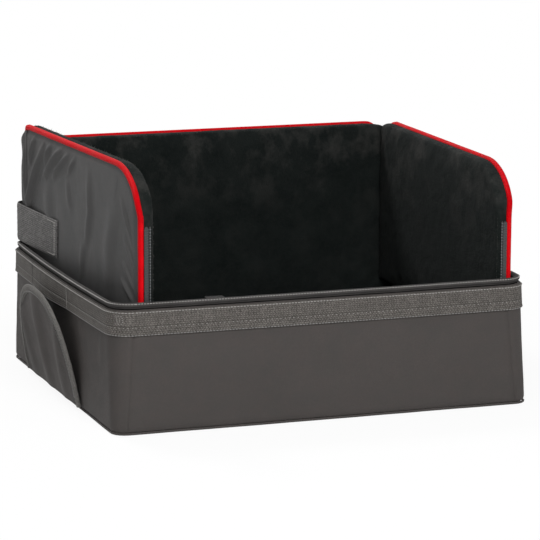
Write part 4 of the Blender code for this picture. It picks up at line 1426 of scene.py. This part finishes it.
def make_cushion():
    """The seat cushion's plush body, and the nylon sheet that it lies on."""
    low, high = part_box("cushion_plush")
    middle = (low + high) / 2
    half = (high - low) / 2

    def point(u, v, depth):
        inset = (0.010, 0.003, 0.0, 0.001, 0.007)[round(depth * 4)]
        x, y = cushion_outline(u, v)
        x *= 1 - inset / cushion_half_width
        y = cushion_middle_y + (y - cushion_middle_y) * (1 - inset / cushion_half_depth)
        if depth < 1:
            return Vector((x, y, mix(cushion_foot, cushion_seam, depth)))
        rise = squared_dome(abs(2 * u - 1), abs(2 * v - 1)) ** 0.6
        return Vector((x, y, mix(cushion_seam, cushion_top - 0.004, rise)))

    def rise_of(spot):
        return squared_dome(min(1, abs(spot.x - middle.x) / half.x),
                            min(1, abs(spot.y - middle.y) / half.y))

    def is_seam(spot):
        at_edge = rise_of(spot) < 0.02 and spot.z > cushion_seam - 0.002
        return spot.z < cushion_foot + 0.001 or at_edge

    def cap(spot):
        if spot.z < cushion_foot + 0.001:
            return 0
        return 0.0008 + 0.005 * rise_of(spot) if spot.z > cushion_seam - 0.001 else 0.0012

    def quick_move(spot):
        return up_axis * (0.0035 * rise_of(spot) if spot.z > cushion_seam else 0)

    size = (2 * cushion_half_width, cushion_rear - cushion_front)
    body = finished("cushion_body", sheet_shape(point, 62, 54, size, 3), black_plush, 180)
    swell(body, is_seam, cap, quick_move)
    for vert in body.data.vertices:
        spot = vert.co
        if abs(spot.x) < 0.014 and spot.y > 0.060 and spot.z > cushion_seam:
            spot.z = min(spot.z, cushion_top)
        if spot.y > hinge_y - 0.012 and spot.z > cushion_seam - 0.002:
            spot.z = min(spot.z, back_wall_bottom + 0.0008)
    brush_pile(body, 0.0007, up_axis)
    for vert in body.data.vertices:
        vert.co.z = min(vert.co.z, cushion_top + 0.0006)
    dress(body, "insert", "cushion_plush", "cushion_foam")

    low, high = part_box("cushion_underside")
    size = (high.x - low.x, high.y - low.y)

    def sheet_point(u, v, depth):
        x, y = cushion_outline(u, v)
        x *= size[0] / (2 * cushion_half_width)
        y = mix(low.y, high.y, (y - cushion_front) / (cushion_rear - cushion_front))
        return Vector((x, y, mix(high.z, low.z, depth)))

    underside = finished("cushion_underside_cloth", sheet_shape(sheet_point, 50, 44, size),
                         wall_nylon)
    dress(underside, "insert", "cushion_underside")


# Front flap

def make_front_flap():
    """The flap behind the front of the box: plush on one side, nylon on the other."""
    low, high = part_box("front_flap_plush")
    face_low, face_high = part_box("front_flap_nylon")
    size = (high.x - low.x, high.z - low.z)

    def plush_point(u, v, depth):
        edge = ease(min(u * 12, (1 - u) * 12, v * 6, (1 - v) * 6))
        thick = (high.y - low.y) * (0.72 + 0.28 * edge) * (depth == 0)
        return Vector((mix(low.x, high.x, u), high.y - thick, mix(low.z, high.z, v)))

    def face_point(u, v, depth):
        level = (face_high if depth == 0 else face_low).y - 0.0002
        level += 0.0002 * ripple((u * 8, v * 2, 0), 1.0)
        return Vector((mix(face_low.x, face_high.x, u), level, mix(face_low.z, face_high.z, v)))

    pad = finished("front_flap_pad", sheet_shape(plush_point, 110, 26, size, 1), black_plush, 70)
    for vert in pad.data.vertices:
        if vert.co.y < low.y + 0.0015:
            vert.co.y += 0.0003 * (1 + ripple(vert.co, 0.008))
    dress(pad, "front_flap", "front_flap_plush")
    face = finished("front_flap_face", sheet_shape(face_point, 110, 30, size), wall_nylon)
    dress(face, "front_flap", "front_flap_nylon")


def add_block(shape, low, high, radius):
    """A block with bevelled edges."""
    matrix = Matrix.Translation((low + high) / 2) @ Matrix.Diagonal((*(high - low), 1))
    made = bmesh.ops.create_cube(shape, size=1, matrix=matrix)
    edges = {edge for vert in made["verts"] for edge in vert.link_edges}
    bmesh.ops.bevel(shape, geom=list(edges), offset=radius, segments=2, profile=0.5,
                    affect="EDGES", material=-1)


def make_slider(side):
    """A zip slider of two plates and a side, and its pull: a plate on a bent bar."""
    body = f"{side}_slider"
    low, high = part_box(f"{side}_zip_slider")
    plate = 0.0007
    shape = bmesh.new()
    for near, far in ((low.y, low.y + plate), (high.y - plate, high.y)):
        add_block(shape, Vector((low.x, near, low.z)), Vector((high.x, far, high.z)), 0.00028)
    outer = low.x if side == "left" else high.x - plate
    add_block(shape, Vector((outer, low.y + 0.0003, low.z)),
              Vector((outer + plate, high.y - 0.0003, high.z)), 0.0002)
    dress(finished(f"{body}_body", shape, slider_paint), body, f"{side}_zip_slider")

    low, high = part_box(f"{side}_zip_pull")
    bar = 0.0010
    shape = bmesh.new()
    add_block(shape, low, Vector((high.x, high.y, mix(low.z, high.z, 0.55))), 0.0003)
    for x in (low.x + 0.0004, high.x - 0.0004 - bar):
        add_block(shape, Vector((x, low.y, mix(low.z, high.z, 0.5))),
                  Vector((x + bar, high.y, high.z)), 0.0002)
    add_block(shape, Vector((low.x + 0.0005, low.y + 0.0001, high.z - bar)),
              Vector((high.x - 0.0005, high.y - 0.0001, high.z - 0.0001)), 0.0002)
    dress(finished(f"{body}_pull", shape, slider_paint), body, f"{side}_zip_pull")


# Tether anchor

def make_tether_anchor():
    """A webbing tab folded round the bar of a D ring and sewn down behind it."""
    ring_low, ring_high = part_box("tether_ring")
    tab_low, tab_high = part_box("tether_tab")
    wire, thickness = 0.0015, 0.0013
    bar = Vector((0, 0.088, 0.0606))
    half_width = ring_high.x - wire
    reach = bar.y - ring_low.y - wire
    path = [Vector((mix(0.003 - half_width, half_width - 0.003, step / 8), bar.y, bar.z))
            for step in range(9)]
    for step in range(1, 28):
        turn = math.pi * step / 28
        widen = abs(math.cos(turn)) ** 0.75 * math.copysign(1, math.cos(turn))
        path.append(Vector((half_width * widen, bar.y - reach * math.sin(turn) ** 0.8, bar.z)))
    ring = tube("tether_ring_wire", path, (wire, wire), up_axis, ring_steel, True, 12)
    dress(ring, "ring", "tether_ring")

    eye = wire + 0.0003 + thickness / 2
    sewn = tab_low.z + thickness / 2
    half = tab_high.x
    line = [Vector((0, mix(tab_high.y, bar.y + 0.006, step / 8), sewn)) for step in range(9)]
    for step in range(13):
        turn = -math.pi * step / 12
        line.append(bar + Vector((0, eye * math.sin(turn), -eye * math.cos(turn))))
    line += [Vector((0, bar.y + mix(0.006, 0.030, step / 5), sewn + thickness * 1.08))
             for step in range(6)]
    last = len(line) - 1

    def point(u, across, outer):
        step = round(u * last)
        heading = (line[min(step + 1, last)] - line[max(step - 1, 0)]).normalized()
        edge = ease(min(across, 1 - across) / 0.08)
        lift = (1 if outer else -1) * thickness / 2 * (0.45 + 0.55 * edge)
        spot = line[step] + Vector((1, 0, 0)).cross(heading) * lift
        return spot + Vector((mix(-half, half, across), 0, 0))

    shape = band_shape(point, last, 12, (line_length(line), 2 * half))
    dress(finished("tether_tab_webbing", shape, strap_webbing, 60), "insert", "tether_tab")

    side = half - 0.0022
    corners = [Vector((x, bar.y + y, sewn + thickness * 1.62))
               for x, y in ((-side, 0.008), (side, 0.008), (side, 0.027), (-side, 0.027))]
    shape = bmesh.new()
    for first, second in ((0, 1), (1, 2), (2, 3), (3, 0), (0, 2), (1, 3)):
        stitch_line(shape, [corners[first], corners[second]], up_axis, 0.0026,
                    (0.0010, 0.0003, 0.0003), 0.0008)
    trim(finished("tether_tab_stitches", shape, grey_thread), "insert", "tether_tab")


# Kept solids

def finish_boards():
    for side in ("front", "rear", "left", "right", "base"):
        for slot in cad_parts[f"board_{side}"].material_slots:
            slot.material = board_pulp


# Stage

def place_camera():
    """The photograph's viewpoint, worked out from the box's edges in it."""
    photo_size, focal_pixels, distance = 540, 3005.67, 3.20
    turn, tilt, roll = (math.radians(value) for value in (-19.7154, 11.0254, 0.2557))
    back = Vector((math.sin(turn) * math.cos(tilt), -math.cos(turn) * math.cos(tilt),
                   math.sin(tilt)))
    right = (-back).cross(up_axis).normalized()
    up = right.cross(-back)
    right, up = (right * math.cos(roll) + up * math.sin(roll),
                 up * math.cos(roll) - right * math.sin(roll))
    data = bpy.data.cameras.new("photo_camera")
    data.sensor_width = 36
    data.lens = data.sensor_width * focal_pixels / photo_size
    camera = bpy.data.objects.new("photo_camera", data)
    camera.location = Vector((0, 0, 0.17)) + right * 0.0072398 - up * 0.0496978 + back * distance
    camera.rotation_euler = Matrix((right, up, back)).transposed().to_euler()
    bpy.context.scene.collection.objects.link(camera)
    bpy.context.scene.camera = camera


def make_floor():
    """A plain pale floor that keeps the object's soft shadow, and glows when seen directly."""
    shape = bmesh.new()
    bmesh.ops.create_grid(shape, x_segments=8, y_segments=8, size=6)
    mesh = bpy.data.meshes.new("floor")
    shape.to_mesh(mesh)
    shape.free()
    floor = bpy.data.objects.new("floor", mesh)
    bpy.context.scene.collection.objects.link(floor)
    finish = Finish("floor", 1, Base_Color=(0.85, 0.85, 0.85), Specular_IOR_Level=0)
    glow = finish.node("ShaderNodeEmission", {}, None, 1)
    reach = finish.node("ShaderNodeVectorMath", {"operation": "LENGTH"}, finish.place(), output=1)
    fade = finish.node("ShaderNodeMapRange", {}, reach, 0.25, 0.7, 0.91, 1.0)
    share = finish.seen_directly() * fade
    plain = Socket(finish, finish.shader.outputs[0])
    blend = finish.node("ShaderNodeMixShader", {}, share, plain, glow)
    finish.feed(finish.tree.nodes["Material Output"].inputs[0], blend)
    mesh.materials.append(finish.material)


def light_studio():
    world = bpy.data.worlds.new("studio")
    bpy.context.scene.world = world
    world.use_nodes = True
    nodes = Nodes(world.node_tree)
    background = nodes.tree.nodes["Background"]
    strength = nodes.node("ShaderNodeMapRange", {}, nodes.seen_directly(), 0, 1, 0.25, 1.0)
    nodes.feed(background.inputs["Strength"], strength)
    nodes.feed(background.inputs["Color"], (1, 1, 1))
    for name, place, target, size, watts in (
            ("key_lamp", (-0.20, -1.7, 1.3), (0, 0, 0.12), 0.9, 36),
            ("fill_lamp", (1.9, -1.4, 1.2), (0, 0, 0.12), 1.8, 3),
            ("top_lamp", (-0.6, 1.3, 1.8), (-0.1, 0, 0.15), 0.5, 25)):
        data = bpy.data.lights.new(name, "AREA")
        data.shape = "SQUARE"
        data.size = size
        data.energy = watts
        lamp = bpy.data.objects.new(name, data)
        lamp.location = place
        heading = Vector(target) - Vector(place)
        lamp.rotation_euler = heading.to_track_quat("-Z", "Y").to_euler()
        bpy.context.scene.collection.objects.link(lamp)
    bpy.context.scene.view_settings.view_transform = "Standard"


def make_car_seat():
    make_box_cloth()
    make_rim()
    for side in signs:
        make_belt_flap(side)
    make_cushion()
    walls = [Wall(name) for name in wall_tops]
    for wall in walls:
        make_wall_pad(wall)
        make_wall_face(wall)
        make_wall_piping(wall)
        make_pile_fringe(wall)
        if wall.side:
            make_zip_half(f"{wall.name}_zip", wall.body, 1)
            make_side_strap(wall)
    for wall in walls[:2]:
        make_corner(wall, walls[-1])
    make_back_strap()
    make_front_flap()
    for side in signs:
        make_zip_half(f"{side}_flap_zip", "front_flap", 0)
        make_slider(side)
    make_tether_anchor()
    finish_boards()


place_camera()
make_car_seat()
make_floor()
light_studio()

bpy.context.view_layer.update()
